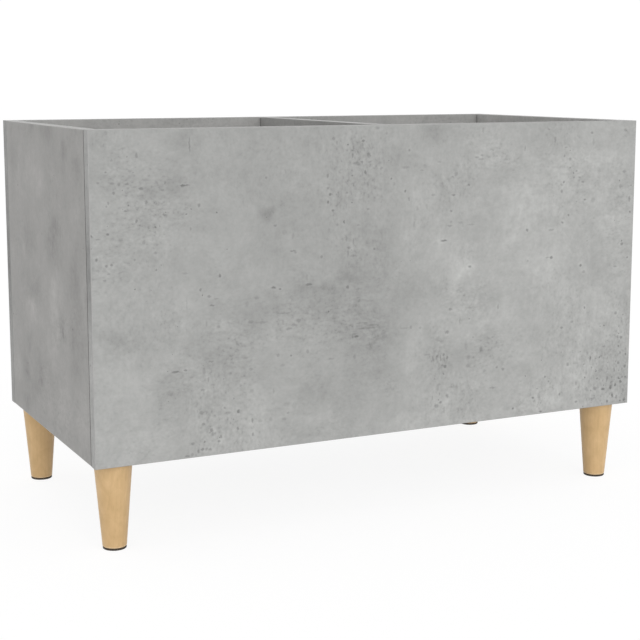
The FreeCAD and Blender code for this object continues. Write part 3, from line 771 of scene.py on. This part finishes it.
class Nodes:
    """Adds nodes to one tree. An input takes a plain value or another node's output."""

    def __init__(self, tree):
        self.tree = tree

    def add(self, kind, inputs=None, **settings):
        """A new node of the given kind, with its settings made and its inputs fed."""
        node = self.tree.nodes.new(kind)
        node.location.x = NODE_SPACING * len(self.tree.nodes)
        for name, value in settings.items():
            setattr(node, name, value)
        for name, value in (inputs or {}).items():
            self.feed(node.inputs[name], value)
        return node

    def feed(self, socket, value):
        if isinstance(value, bpy.types.NodeSocket):
            self.tree.links.new(value, socket)
        else:
            socket.default_value = value

    def maths(self, operation, *values):
        return self.add("ShaderNodeMath", dict(enumerate(values)), operation=operation).outputs[0]

    def clamped(self, operation, *values):
        """As maths, but kept between nought and one."""
        node = self.add("ShaderNodeMath", dict(enumerate(values)), operation=operation, use_clamp=True)
        return node.outputs[0]

    def vector(self, operation, *values):
        node = self.add("ShaderNodeVectorMath", dict(enumerate(values)), operation=operation)
        return node.outputs["Vector"]

    def measure(self, operation, *values):
        node = self.add("ShaderNodeVectorMath", dict(enumerate(values)), operation=operation)
        return node.outputs["Value"]

    def times(self, vector, factor):
        node = self.add("ShaderNodeVectorMath", {"Vector": vector, "Scale": factor}, operation="SCALE")
        return node.outputs["Vector"]

    def split(self, vector):
        return self.add("ShaderNodeSeparateXYZ", {"Vector": vector}).outputs

    def joined(self, x, y, z):
        return self.add("ShaderNodeCombineXYZ", {"X": x, "Y": y, "Z": z}).outputs["Vector"]

    def between(self, share, first, second):
        """The first value where share is nought, the second where it is one."""
        return self.add("ShaderNodeMix", {0: share, 2: first, 3: second}).outputs[0]

    def fade(self, value, start, end, low=0.0, high=1.0):
        """Low up to start, high from end on, and a smooth change between them."""
        inputs = {"Value": value, "From Min": start, "From Max": end, "To Min": low, "To Max": high}
        return self.add("ShaderNodeMapRange", inputs, interpolation_type="SMOOTHSTEP").outputs["Result"]

    def curve(self, value, points):
        """A smooth curve through the points, which run from nought to one."""
        node = self.add("ShaderNodeFloatCurve", {"Value": value})
        node.mapping.clip_min_y = -1.0
        node.mapping.extend = "HORIZONTAL"
        line = node.mapping.curves[0]
        line.points[0].location = points[0]
        line.points[-1].location = points[-1]
        for across, up in points[1:-1]:
            line.points.new(across, up)
        for point in line.points:
            point.handle_type = "AUTO_CLAMPED"
        node.mapping.update()
        return node.outputs["Value"]

    def noise(self, place, size, detail=2.0, roughness=0.5, distortion=0.0):
        """Cloudy noise about nought, with features of the given size."""
        inputs = {"Vector": place, "Scale": 1 / size, "Detail": detail}
        inputs.update({"Roughness": roughness, "Distortion": distortion})
        return self.maths("SUBTRACT", self.add("ShaderNodeTexNoise", inputs).outputs[0], 0.5)

    def cells(self, place, spacing):
        """Scattered points on a plane: the distance to the nearest, and its own random numbers."""
        inputs = {"Vector": place, "Scale": 1 / spacing}
        node = self.add("ShaderNodeTexVoronoi", inputs, voronoi_dimensions="2D")
        return node.outputs["Distance"], self.split(node.outputs["Color"])

    def brushed(self, place, length, thickness, lying):
        """Noise drawn out across the board where lying is one, and up it where lying is nought."""
        across = self.vector("MULTIPLY", place, (1 / length, 1 / thickness, 1.0))
        upright = self.vector("MULTIPLY", place, (1 / thickness, 1 / length, 1.0))
        return self.between(lying, self.noise(upright, 1, detail=1), self.noise(across, 1, detail=1))

    def group(self, tree, inputs):
        return self.add("ShaderNodeGroup", node_tree=tree, inputs=inputs).outputs

    def bump(self, height, distance):
        inputs = {"Height": height, "Distance": distance, "Strength": 1.0}
        return self.add("ShaderNodeBump", inputs).outputs["Normal"]


def new_group(name, inputs, outputs):
    """A node group with its named sockets. Each is given as its kind, or an input as its usual value."""
    tree = bpy.data.node_groups.new(name, "ShaderNodeTree")
    for title, value in inputs.items():
        kind = value if isinstance(value, str) else FLOAT
        socket = tree.interface.new_socket(title, in_out="INPUT", socket_type=kind)
        if kind is not value:
            socket.default_value = value
    for title, kind in outputs.items():
        tree.interface.new_socket(title, in_out="OUTPUT", socket_type=kind)
    nodes = Nodes(tree)
    given = nodes.add("NodeGroupInput").outputs
    result = nodes.add("NodeGroupOutput").inputs
    return nodes, given, result


def make_face_place():
    """Where a point lies on its board's face: metres across, metres up, and a number for the face itself."""
    nodes, given, result = new_group("face_place", {"Sheet": 0.0}, {"Place": VECTOR})
    here = nodes.add("ShaderNodeTexCoord").outputs
    x, y, z = nodes.split(here["Object"])
    side_on, front_on, top_on = nodes.split(here["Normal"])
    faces_sideways = nodes.maths("GREATER_THAN", nodes.maths("ABSOLUTE", side_on), FACE_LIMIT)
    faces_up = nodes.maths("GREATER_THAN", nodes.maths("ABSOLUTE", top_on), FACE_LIMIT)
    across = nodes.between(faces_sideways, x, y)
    up = nodes.between(faces_up, z, y)
    depth = nodes.measure("DOT_PRODUCT", here["Object"], here["Normal"])
    number = nodes.measure("DOT_PRODUCT", here["Normal"], FACE_NUMBERS)
    layer = nodes.maths("MULTIPLY_ADD", depth, LAYER_STEP, number)
    layer = nodes.maths("ADD", layer, given["Sheet"])
    nodes.feed(result["Place"], nodes.joined(across, up, layer))
    return nodes.tree


def make_soft_patch():
    """Adds one soft round patch to what came before it."""
    inputs = {"Before": 0.0, "Place": VECTOR, "Centre": VECTOR, "Size": VECTOR, "Strength": 0.1}
    nodes, given, result = new_group("soft_patch", inputs, {"After": FLOAT})
    offset = nodes.vector("SUBTRACT", given["Place"], given["Centre"])
    far = nodes.measure("LENGTH", nodes.vector("MULTIPLY", offset, given["Size"]))
    cover = nodes.fade(far, PATCH_REACH, 0.0)
    nodes.feed(result["After"], nodes.maths("MULTIPLY_ADD", cover, given["Strength"], given["Before"]))
    return nodes.tree


def make_small_mark():
    """Adds one pit or crack, with its pale fringe, to what came before it."""
    inputs = {"Before": 0.0, "Place": VECTOR, "Centre": VECTOR, "Size": VECTOR, "Strength": 0.5}
    nodes, given, result = new_group("small_mark", inputs, {"After": FLOAT})
    offset = nodes.vector("SUBTRACT", given["Place"], given["Centre"])
    far = nodes.measure("LENGTH", nodes.vector("MULTIPLY", offset, given["Size"]))
    cover = nodes.curve(nodes.maths("DIVIDE", far, MARK_REACH), MARK_FALL)
    nodes.feed(result["After"], nodes.maths("MULTIPLY_ADD", cover, given["Strength"], given["Before"]))
    return nodes.tree


def make_warped_place():
    """Pushes places about, so that what is drawn on them has uneven outlines."""
    inputs = {"Place": VECTOR, "Scale": 1.0, "Reach": 0.0}
    nodes, given, result = new_group("warped_place", inputs, {"Place": VECTOR})
    inputs = {"Vector": given["Place"], "Scale": given["Scale"], "Detail": 2.0}
    pushes = nodes.add("ShaderNodeTexNoise", inputs)
    push = nodes.vector("SUBTRACT", pushes.outputs["Color"], (0.5, 0.5, 0.5))
    nodes.feed(result["Place"], nodes.vector("ADD", given["Place"], nodes.times(push, given["Reach"])))
    return nodes.tree


def make_concrete_print():
    """The print of bare concrete: clouds, mottling, trowel streaks, flecks, and pits with pale fringes."""
    inputs = {"Place": VECTOR, "Colour": COLOUR, "Clouds": 1.0, "Extra Tone": 0.0, "Extra Rough": 0.0}
    inputs.update({"Extra Lying": 0.0, "Fine Depth": 1.0, "Break": BREAK_USUAL})
    inputs.update({"Pit Cover": PLAIN_PIT_COVER, "Marks": 0.0})
    outputs = {"Colour": COLOUR, "Pits": FLOAT, "Height": FLOAT}
    nodes, given, result = new_group("concrete_print", inputs, outputs)
    place = given["Place"]
    clouds = nodes.noise(place, CLOUD_SIZE, distortion=CLOUD_TWIST)
    clouds = nodes.maths("MULTIPLY", clouds, given["Clouds"])
    mottle = nodes.noise(place, MOTTLE_SIZE, MOTTLE_DETAIL, MOTTLE_ROUGHNESS, MOTTLE_TWIST)
    broken = nodes.maths("MULTIPLY_ADD", nodes.noise(place, BREAK_SIZE, roughness=0.6), given["Break"], 1.0)
    tone = nodes.maths("MULTIPLY", given["Extra Tone"], broken)
    tone = nodes.maths("MULTIPLY_ADD", clouds, CLOUD_DEPTH, tone)
    mottle = nodes.maths("MULTIPLY", mottle, given["Fine Depth"])
    tone = nodes.maths("MULTIPLY_ADD", mottle, MOTTLE_DEPTH, tone)

    rough = nodes.maths("MULTIPLY_ADD", nodes.noise(place, ROUGH_SIZE, detail=3), ROUGH_GAIN, ROUGH_USUAL)
    rough = nodes.clamped("ADD", rough, given["Extra Rough"])
    loud = nodes.maths("MULTIPLY", nodes.maths("MAXIMUM", rough, ROUGH_LEAST), given["Fine Depth"])
    turn = nodes.maths("ADD", nodes.noise(place, LYING_SIZE, detail=1), given["Extra Lying"])
    lying = nodes.fade(turn, -LYING_EDGE, LYING_EDGE)
    streaks = nodes.brushed(place, STREAK_LENGTH, STREAK_THICKNESS, lying)
    flecks = nodes.brushed(place, FLECK_LENGTH, FLECK_THICKNESS, lying)
    tail = nodes.fade(flecks, TAIL_START, TAIL_END)
    dabs = nodes.brushed(place, DAB_LENGTH, DAB_THICKNESS, lying)
    fine = nodes.maths("MULTIPLY", streaks, STREAK_DEPTH)
    fine = nodes.maths("MULTIPLY_ADD", dabs, DAB_DEPTH, fine)
    fine = nodes.maths("MULTIPLY_ADD", flecks, FLECK_DEPTH, fine)
    fine = nodes.maths("MULTIPLY_ADD", tail, -FLECK_TAIL, fine)
    tone = nodes.maths("MULTIPLY_ADD", fine, loud, tone)

    layer = nodes.split(place)[2]
    spread = nodes.vector("MULTIPLY_ADD", nodes.joined(layer, layer, 0.0), LAYER_SHIFT, place)
    inputs = {"Place": spread, "Scale": 1 / RAGGED_SIZE, "Reach": RAGGED_REACH}
    distance, random = nodes.cells(nodes.group(warped_place, inputs)["Place"], PIT_SPACING)
    there = nodes.maths("LESS_THAN", random[0], given["Pit Cover"])
    radius = nodes.maths("MULTIPLY_ADD", nodes.maths("POWER", random[1], 2.0), PIT_SPREAD, PIT_SMALLEST)
    near = nodes.maths("DIVIDE", distance, radius)
    pits = nodes.maths("MULTIPLY", nodes.fade(near, PIT_RIM, PIT_CORE), there)
    pits = nodes.maths("MULTIPLY", pits, nodes.fade(random[2], 0.0, 1.0, PIT_FAINTEST, 1.0))
    fringe = nodes.maths("MULTIPLY", nodes.fade(near, FRINGE_RIM, FRINGE_CORE), there)

    pits = nodes.maths("MINIMUM", nodes.maths("ADD", pits, given["Marks"]), 1.0)
    tone = nodes.maths("MULTIPLY_ADD", fringe, FRINGE_PALENESS, tone)
    tone = nodes.maths("ADD", tone, 1.0)
    dark = nodes.maths("MULTIPLY_ADD", pits, -PIT_DARKNESS, 1.0)
    nodes.feed(result["Colour"], nodes.times(given["Colour"], nodes.maths("MULTIPLY", tone, dark)))
    nodes.feed(result["Pits"], pits)
    nodes.feed(result["Height"], nodes.noise(place, GRAIN_SIZE, roughness=0.6))
    return nodes.tree


def make_joint_shade():
    """One over most of a board, less in the thin line of painted shade where its end meets the next board.
    """
    inputs = {"Joint": 0.0, "Darkness": 0.5}
    nodes, given, result = new_group("joint_shade", inputs, {"Shade": FLOAT})
    here = nodes.add("ShaderNodeTexCoord").outputs["Object"]
    far = nodes.maths("ABSOLUTE", nodes.split(here)[1])
    inside = nodes.maths("SUBTRACT", given["Joint"], far)
    cover = nodes.fade(inside, JOINT_REACH + JOINT_FADE, JOINT_REACH)
    lost = nodes.maths("MULTIPLY", cover, given["Darkness"])
    nodes.feed(result["Shade"], nodes.maths("SUBTRACT", 1.0, lost))
    return nodes.tree


def make_wood_figure():
    """Growth rings, long fibres, soft blotches and small dark flecks, all running up and down."""
    inputs = {"Place": VECTOR, "Colour": COLOUR, "Ring Spacing": RING_SPACING, "Figure": 1.0}
    outputs = {"Colour": COLOUR, "Height": FLOAT, "Fibres": FLOAT}
    nodes, given, result = new_group("wood_figure", inputs, outputs)
    place = given["Place"]
    across = nodes.vector("MULTIPLY", nodes.vector("SUBTRACT", place, HEART_PLACE), (1.0, 1.0, 0.0))
    bend = nodes.noise(nodes.vector("MULTIPLY", place, BEND_STRETCH), BEND_SIZE)
    reach = nodes.maths("MULTIPLY_ADD", bend, BEND_REACH, nodes.measure("LENGTH", across))
    ring = nodes.maths("DIVIDE", reach, given["Ring Spacing"])
    late = nodes.maths("POWER", nodes.maths("FRACT", ring), RING_SHARPNESS)
    drawn = nodes.vector("MULTIPLY", place, FIBRE_STRETCH)
    fibres = nodes.noise(drawn, FIBRE_SIZE, detail=3, roughness=0.6)
    drawn = nodes.vector("MULTIPLY", place, BLOTCH_STRETCH)
    blotches = nodes.noise(drawn, BLOTCH_SIZE, detail=3, roughness=0.62, distortion=0.5)
    chips = nodes.vector("MULTIPLY", place, CHIP_STRETCH)
    spots = nodes.add("ShaderNodeTexVoronoi", {"Vector": chips, "Scale": 1 / CHIP_SPACING}).outputs
    chosen = nodes.maths("LESS_THAN", nodes.split(spots["Color"])[0], CHIP_SHARE)
    flecks = nodes.maths("MULTIPLY", nodes.fade(spots["Distance"], CHIP_RIM, CHIP_CORE), chosen)
    tone = nodes.maths("MULTIPLY_ADD", late, -RING_DEPTH, WOOD_LEVEL)
    tone = nodes.maths("MULTIPLY_ADD", fibres, FIBRE_DEPTH, tone)
    tone = nodes.maths("MULTIPLY_ADD", blotches, BLOTCH_DEPTH, tone)
    tone = nodes.maths("MULTIPLY", tone, given["Figure"])
    tone = nodes.maths("MULTIPLY_ADD", flecks, -CHIP_DEPTH, tone)
    tone = nodes.maths("ADD", tone, 1.0)
    red = nodes.maths("POWER", tone, RED_POWER)
    blue = nodes.maths("POWER", tone, BLUE_POWER)
    nodes.feed(result["Colour"], nodes.vector("MULTIPLY", given["Colour"], nodes.joined(red, tone, blue)))
    nodes.feed(result["Fibres"], fibres)
    nodes.feed(result["Height"], nodes.maths("SUBTRACT", fibres, flecks))
    return nodes.tree


def make_fine_texture():
    """A fine uneven surface: its height, and how much it spreads the light."""
    inputs = {"Size": 0.001, "Colour": COLOUR, "Contrast": 0.2, "Roughness": 0.5}
    outputs = {"Colour": COLOUR, "Roughness": FLOAT, "Height": FLOAT}
    nodes, given, result = new_group("fine_texture", inputs, outputs)
    here = nodes.add("ShaderNodeTexCoord").outputs["Object"]
    scale = nodes.maths("DIVIDE", 1.0, given["Size"])
    fine = nodes.add("ShaderNodeTexNoise", {"Vector": here, "Scale": scale, "Detail": 3.0})
    height = nodes.maths("SUBTRACT", fine.outputs[0], 0.5)
    tone = nodes.maths("MULTIPLY_ADD", height, given["Contrast"], 1.0)
    roughness = nodes.clamped("MULTIPLY_ADD", height, given["Contrast"], given["Roughness"])
    nodes.feed(result["Colour"], nodes.times(given["Colour"], tone))
    nodes.feed(result["Roughness"], roughness)
    nodes.feed(result["Height"], height)
    return nodes.tree


face_place = make_face_place()
soft_patch = make_soft_patch()
small_mark = make_small_mark()
warped_place = make_warped_place()
concrete_print = make_concrete_print()
joint_shade = make_joint_shade()
wood_figure = make_wood_figure()
fine_texture = make_fine_texture()


def new_material(name):
    """A material with its shader: (Nodes, the shader)."""
    material = bpy.data.materials.new(name)
    material.use_nodes = True
    material.node_tree.nodes.clear()
    nodes = Nodes(material.node_tree)
    shader = nodes.add("ShaderNodeBsdfPrincipled")
    nodes.add("ShaderNodeOutputMaterial", {"Surface": shader.outputs["BSDF"]})
    return material, nodes, shader


def front_face():
    """The front's lower left corner, its width and height, and the number that face_place gives it."""
    low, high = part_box("front_panel_edging")
    layer = -low.y * LAYER_STEP - FACE_NUMBERS[1]
    return low.x, low.z, high.x - low.x, high.z - low.z, layer


def left_face(sheet=0.0):
    """The left side's lower back corner, its width, towards the front, and the rest as for the front."""
    low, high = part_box("front_panel_edging")
    layer = -low.x * LAYER_STEP - FACE_NUMBERS[0] + sheet
    return cad_high.y, low.z, cad_low.y - cad_high.y, high.z - low.z, layer


def add_patches(nodes, place, rows, face, start=0.0):
    """Soft patches laid on a board's face from a table of shares."""
    left, foot, width, height, layer = face
    total = start
    for across, up, half_width, half_height, strength in rows:
        centre = (left + across * width, foot + up * height, layer)
        size = (1 / (half_width * abs(width)), 1 / (half_height * abs(width)), 1.0)
        inputs = {"Before": total, "Place": place, "Centre": centre, "Size": size, "Strength": strength}
        total = nodes.group(soft_patch, inputs)["After"]
    return total


def add_marks(nodes, place, rows, face):
    """Pits and cracks at chosen places on a board's face."""
    left, foot, width, height, layer = face
    total = 0.0
    for across, up, half_width, half_height, strength in rows:
        centre = (left + across * width, foot + up * height, layer)
        size = (1 / half_width, 1 / half_height, 1.0)
        inputs = {"Before": total, "Place": place, "Centre": centre, "Size": size, "Strength": strength}
        total = nodes.group(small_mark, inputs)["After"]
    return total


def finish_board(nodes, shader, concrete, shade_joints=False):
    """Joins the print to a board's shader: a matt face, with painted shade along its joints when asked."""
    colour = concrete["Colour"]
    # Painted shade: a thin dark line at the board's ends, where the joint's shadow falls
    if shade_joints:
        side_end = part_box("left_side_panel")[1].y
        shade = nodes.group(joint_shade, {"Joint": side_end, "Darkness": JOINT_SHADE_DARKNESS})["Shade"]
        colour = nodes.times(colour, shade)
    roughness = nodes.maths("MULTIPLY_ADD", concrete["Pits"], PIT_ROUGHNESS, BOARD_ROUGHNESS)
    nodes.feed(shader.inputs["Base Color"], colour)
    nodes.feed(shader.inputs["Roughness"], roughness)
    nodes.feed(shader.inputs["Normal"], nodes.bump(concrete["Height"], BOARD_GRAIN))
    shader.inputs["Specular IOR Level"].default_value = BOARD_GLOSS


def faced_board(name, colour, face, tables, fine_depth=1.0, shade_joints=False):
    """A board whose print has its clouds, flecks, pits and marks at chosen places on its outer face."""
    clouds, rough, lying, crowds, marks = tables
    material, nodes, shader = new_material(name)
    place = nodes.group(face_place, {})["Place"]
    inputs = {"Place": place, "Scale": 1 / WARP_SIZE, "Reach": WARP_REACH}
    loose = nodes.group(warped_place, inputs)["Place"]
    inputs = {"Place": place, "Scale": 1 / RAGGED_SIZE, "Reach": RAGGED_REACH}
    ragged = nodes.group(warped_place, inputs)["Place"]
    inputs = {
        "Place": place,
        "Colour": (*colour, 1.0),
        "Clouds": FACED_CLOUDS,
        "Extra Tone": add_patches(nodes, loose, clouds, face),
        "Extra Rough": add_patches(nodes, loose, rough, face),
        "Extra Lying": add_patches(nodes, loose, lying, face),
        "Fine Depth": fine_depth,
        "Pit Cover": add_patches(nodes, loose, crowds, face, FACED_PIT_COVER),
        "Marks": add_marks(nodes, ragged, marks, face),
    }
    finish_board(nodes, shader, nodes.group(concrete_print, inputs), shade_joints)
    return material


def plain_board(name, colour, sheet, pit_cover=PLAIN_PIT_COVER, shade_joints=False):
    """A board with the same print, cut from other parts of the sheet."""
    material, nodes, shader = new_material(name)
    place = nodes.group(face_place, {"Sheet": sheet})["Place"]
    least = pit_cover * CROWD_SPARSEST
    most = pit_cover * CROWD_THICKEST
    crowd = nodes.fade(nodes.noise(place, CROWD_SIZE), CROWD_START, CROWD_END, least, most)
    stains = nodes.noise(place, STAIN_SIZE, roughness=0.55, distortion=STAIN_TWIST)
    stains = nodes.maths("MULTIPLY", stains, STAIN_DEPTH)
    inputs = {"Place": place, "Colour": (*colour, 1.0), "Extra Tone": stains, "Pit Cover": crowd}
    inputs["Extra Rough"] = PLAIN_ROUGH
    finish_board(nodes, shader, nodes.group(concrete_print, inputs), shade_joints)
    return material


def end_edging(name, colour, sheet):
    """The front's and back's edging, with the darker and paler stretches of their left ends."""
    material, nodes, shader = new_material(name)
    place = nodes.group(face_place, {"Sheet": sheet})["Place"]
    tone = add_patches(nodes, place, LEFT_END_SHARES, left_face(sheet))
    inputs = {"Place": place, "Colour": (*colour, 1.0), "Extra Tone": tone}
    inputs.update({"Break": END_BREAK, "Pit Cover": END_PIT_COVER})
    finish_board(nodes, shader, nodes.group(concrete_print, inputs))
    return material


def leg_wood():
    """Clear-lacquered pale wood, with a paler ring round the foot just above the pad."""
    material, nodes, shader = new_material("leg_wood")
    here = nodes.add("ShaderNodeTexCoord").outputs["Object"]
    inputs = {"Place": here, "Colour": (*WOOD_PALE, 1.0)}
    inputs.update({"Ring Spacing": RING_SPACING, "Figure": LEG_FIGURE})
    wood = nodes.group(wood_figure, inputs)
    # A paler ring round the foot, just above the pad
    bare = nodes.fade(nodes.split(here)[2], BEVEL_TOP, BEVEL_BASE)
    paler = nodes.vector("MULTIPLY_ADD", nodes.joined(bare, bare, bare), BEVEL_TINT, (1.0, 1.0, 1.0))
    nodes.feed(shader.inputs["Base Color"], nodes.vector("MULTIPLY", wood["Colour"], paler))
    roughness = nodes.maths("MULTIPLY_ADD", wood["Fibres"], FIBRE_ROUGHNESS, LEG_ROUGHNESS)
    nodes.feed(shader.inputs["Roughness"], roughness)
    nodes.feed(shader.inputs["Normal"], nodes.bump(wood["Height"], LEG_GRAIN))
    shader.inputs["Specular IOR Level"].default_value = LEG_GLOSS
    return material


def dowel_wood():
    """Raw pale wood, for the dowels."""
    material, nodes, shader = new_material("dowel_wood")
    here = nodes.add("ShaderNodeTexCoord").outputs["Object"]
    inputs = {"Place": here, "Colour": (*DOWEL_PALE, 1.0)}
    inputs.update({"Ring Spacing": DOWEL_RING_SPACING, "Figure": DOWEL_FIGURE})
    wood = nodes.group(wood_figure, inputs)
    nodes.feed(shader.inputs["Base Color"], wood["Colour"])
    nodes.feed(shader.inputs["Normal"], nodes.bump(wood["Height"], DOWEL_GRAIN))
    shader.inputs["Roughness"].default_value = DOWEL_ROUGHNESS
    return material


def fine_finish(name, colour, size, contrast, roughness, depth, metallic):
    """A finish with a fine uneven texture: rubber, cast zinc or plated steel."""
    material, nodes, shader = new_material(name)
    inputs = {"Size": size, "Colour": (*colour, 1.0), "Contrast": contrast, "Roughness": roughness}
    fine = nodes.group(fine_texture, inputs)
    nodes.feed(shader.inputs["Base Color"], fine["Colour"])
    nodes.feed(shader.inputs["Roughness"], fine["Roughness"])
    nodes.feed(shader.inputs["Normal"], nodes.bump(fine["Height"], depth))
    shader.inputs["Metallic"].default_value = metallic
    return material


def dress(node, material):
    """Gives a CAD piece its finish."""
    slots = frame["nodes"][node].data.materials
    for index in range(len(slots)):
        slots[index] = material


def dress_by_slot(finishes):
    """Gives every CAD piece the finish of the slot that the record names for it."""
    for row in frame["record"]["subparts"]:
        dress(row["node"], finishes[row["material_slot"]])


def dress_cabinet():
    """All finishes, then the boards that have a print of their own."""
    dress_by_slot(
        {
            "concrete_board": plain_board("concrete_board", CONCRETE_BOARD, BOARD_SHEET),
            "board_edging": plain_board("board_edging", EDGING_COLOUR, EDGING_SHEET, EDGING_PIT_COVER),
            "leg_wood": leg_wood(),
            "pad_rubber": fine_finish("pad_rubber", RUBBER_COLOUR, *RUBBER_TEXTURE),
            "cam_zinc": fine_finish("cam_zinc", ZINC_COLOUR, *ZINC_TEXTURE),
            "fastener_steel": fine_finish("fastener_steel", STEEL_COLOUR, *STEEL_TEXTURE),
            "dowel_wood": dowel_wood(),
        }
    )
    front = (FRONT_CLOUD_SHARES, FRONT_ROUGH_SHARES, FRONT_LYING_SHARES, FRONT_PIT_SHARES, FRONT_MARK_SHARES)
    side = (SIDE_CLOUD_SHARES, SIDE_ROUGH_SHARES, SIDE_LYING_SHARES, SIDE_PIT_SHARES, SIDE_MARK_SHARES)
    left = faced_board("left_concrete", CONCRETE_SIDE, left_face(), side, SIDE_FINE_DEPTH, shade_joints=True)
    dress("front_panel", faced_board("front_concrete", CONCRETE_FRONT, front_face(), front))
    dress("left_side_panel", left)
    dress("right_side_panel", plain_board("right_concrete", CONCRETE_RIGHT, RIGHT_SHEET, shade_joints=True))
    dress("divider_panel", plain_board("divider_concrete", CONCRETE_DIVIDER, DIVIDER_SHEET, shade_joints=True))
    ends = end_edging("end_edging", FRONT_EDGING_COLOUR, EDGING_SHEET)
    dress("front_panel_edging", ends)
    dress("back_panel_edging", ends)


def is_seen_ray(nodes):
    """One for what the camera, a mirror or glass sees, nought for light that falls on things."""
    path = nodes.add("ShaderNodeLightPath").outputs
    seen = nodes.maths("MAXIMUM", path["Is Camera Ray"], path["Is Glossy Ray"])
    return nodes.maths("MAXIMUM", seen, path["Is Transmission Ray"])


def make_sky():
    """White all round: full white to the eye, a little less as light."""
    world = bpy.data.worlds.new("studio")
    world.use_nodes = True
    world.node_tree.nodes.clear()
    nodes = Nodes(world.node_tree)
    level = nodes.between(is_seen_ray(nodes), SKY_LEVEL, BACKDROP_LIFT)
    shade = nodes.add("ShaderNodeBackground", {"Color": WHITE, "Strength": level})
    nodes.add("ShaderNodeOutputWorld", {"Surface": shade.outputs[0]})
    bpy.context.scene.world = world


def make_floor():
    """A wide pale floor. The eye sees it lifted to white, with the cabinet's soft shadow left on it."""
    bpy.ops.mesh.primitive_circle_add(vertices=FLOOR_SIDES, radius=FLOOR_RADIUS, fill_type="NGON")
    floor = bpy.context.object
    floor.name = "floor"
    material = bpy.data.materials.new("floor_paper")
    material.use_nodes = True
    material.node_tree.nodes.clear()
    nodes = Nodes(material.node_tree)
    paper = nodes.add("ShaderNodeBsdfDiffuse", {"Color": (FLOOR_PALE, FLOOR_PALE, FLOOR_PALE, 1.0)})
    lift = (BACKDROP_LIFT - SHADOW_SHARE * FLOOR_PALE) / (1 - SHADOW_SHARE)
    glow = nodes.add("ShaderNodeEmission", {"Color": WHITE, "Strength": lift})
    share = nodes.between(is_seen_ray(nodes), 1.0, SHADOW_SHARE)
    mixed = nodes.add("ShaderNodeMixShader", {0: share, 1: glow.outputs[0], 2: paper.outputs[0]})
    under = nodes.add("ShaderNodeNewGeometry").outputs["Backfacing"]
    clear = nodes.add("ShaderNodeBsdfTransparent")
    both = nodes.add("ShaderNodeMixShader", {0: under, 1: mixed.outputs[0], 2: clear.outputs[0]})
    nodes.add("ShaderNodeOutputMaterial", {"Surface": both.outputs[0]})
    floor.data.materials.append(material)


def make_lamp():
    """A broad soft lamp, low in front and a little to the left."""
    data = bpy.data.lights.new("soft_lamp", "SUN")
    data.energy = LAMP_LEVEL * math.pi
    data.angle = math.radians(LAMP_SOFTNESS)
    lamp = bpy.data.objects.new("soft_lamp", data)
    lamp.rotation_euler = (math.radians(90 - LAMP_HEIGHT), 0, math.radians(LAMP_TURN))
    bpy.context.scene.collection.objects.link(lamp)


def make_camera():
    """The photograph's view, with its long lens."""
    data = bpy.data.cameras.new("camera")
    data.sensor_width = SENSOR_WIDTH
    data.lens = FOCAL_PIXELS / PICTURE_WIDTH * SENSOR_WIDTH
    data.shift_y = CAMERA_SHIFT
    camera = bpy.data.objects.new("camera", data)
    camera.location = CAMERA_PLACE
    camera.rotation_euler = (math.radians(90 - CAMERA_TILT), 0, math.radians(-CAMERA_TURN))
    bpy.context.scene.collection.objects.link(camera)
    bpy.context.scene.camera = camera


make_camera()
make_sky()
make_floor()
make_lamp()
dress_cabinet()

bpy.context.scene.view_settings.view_transform = "Standard"
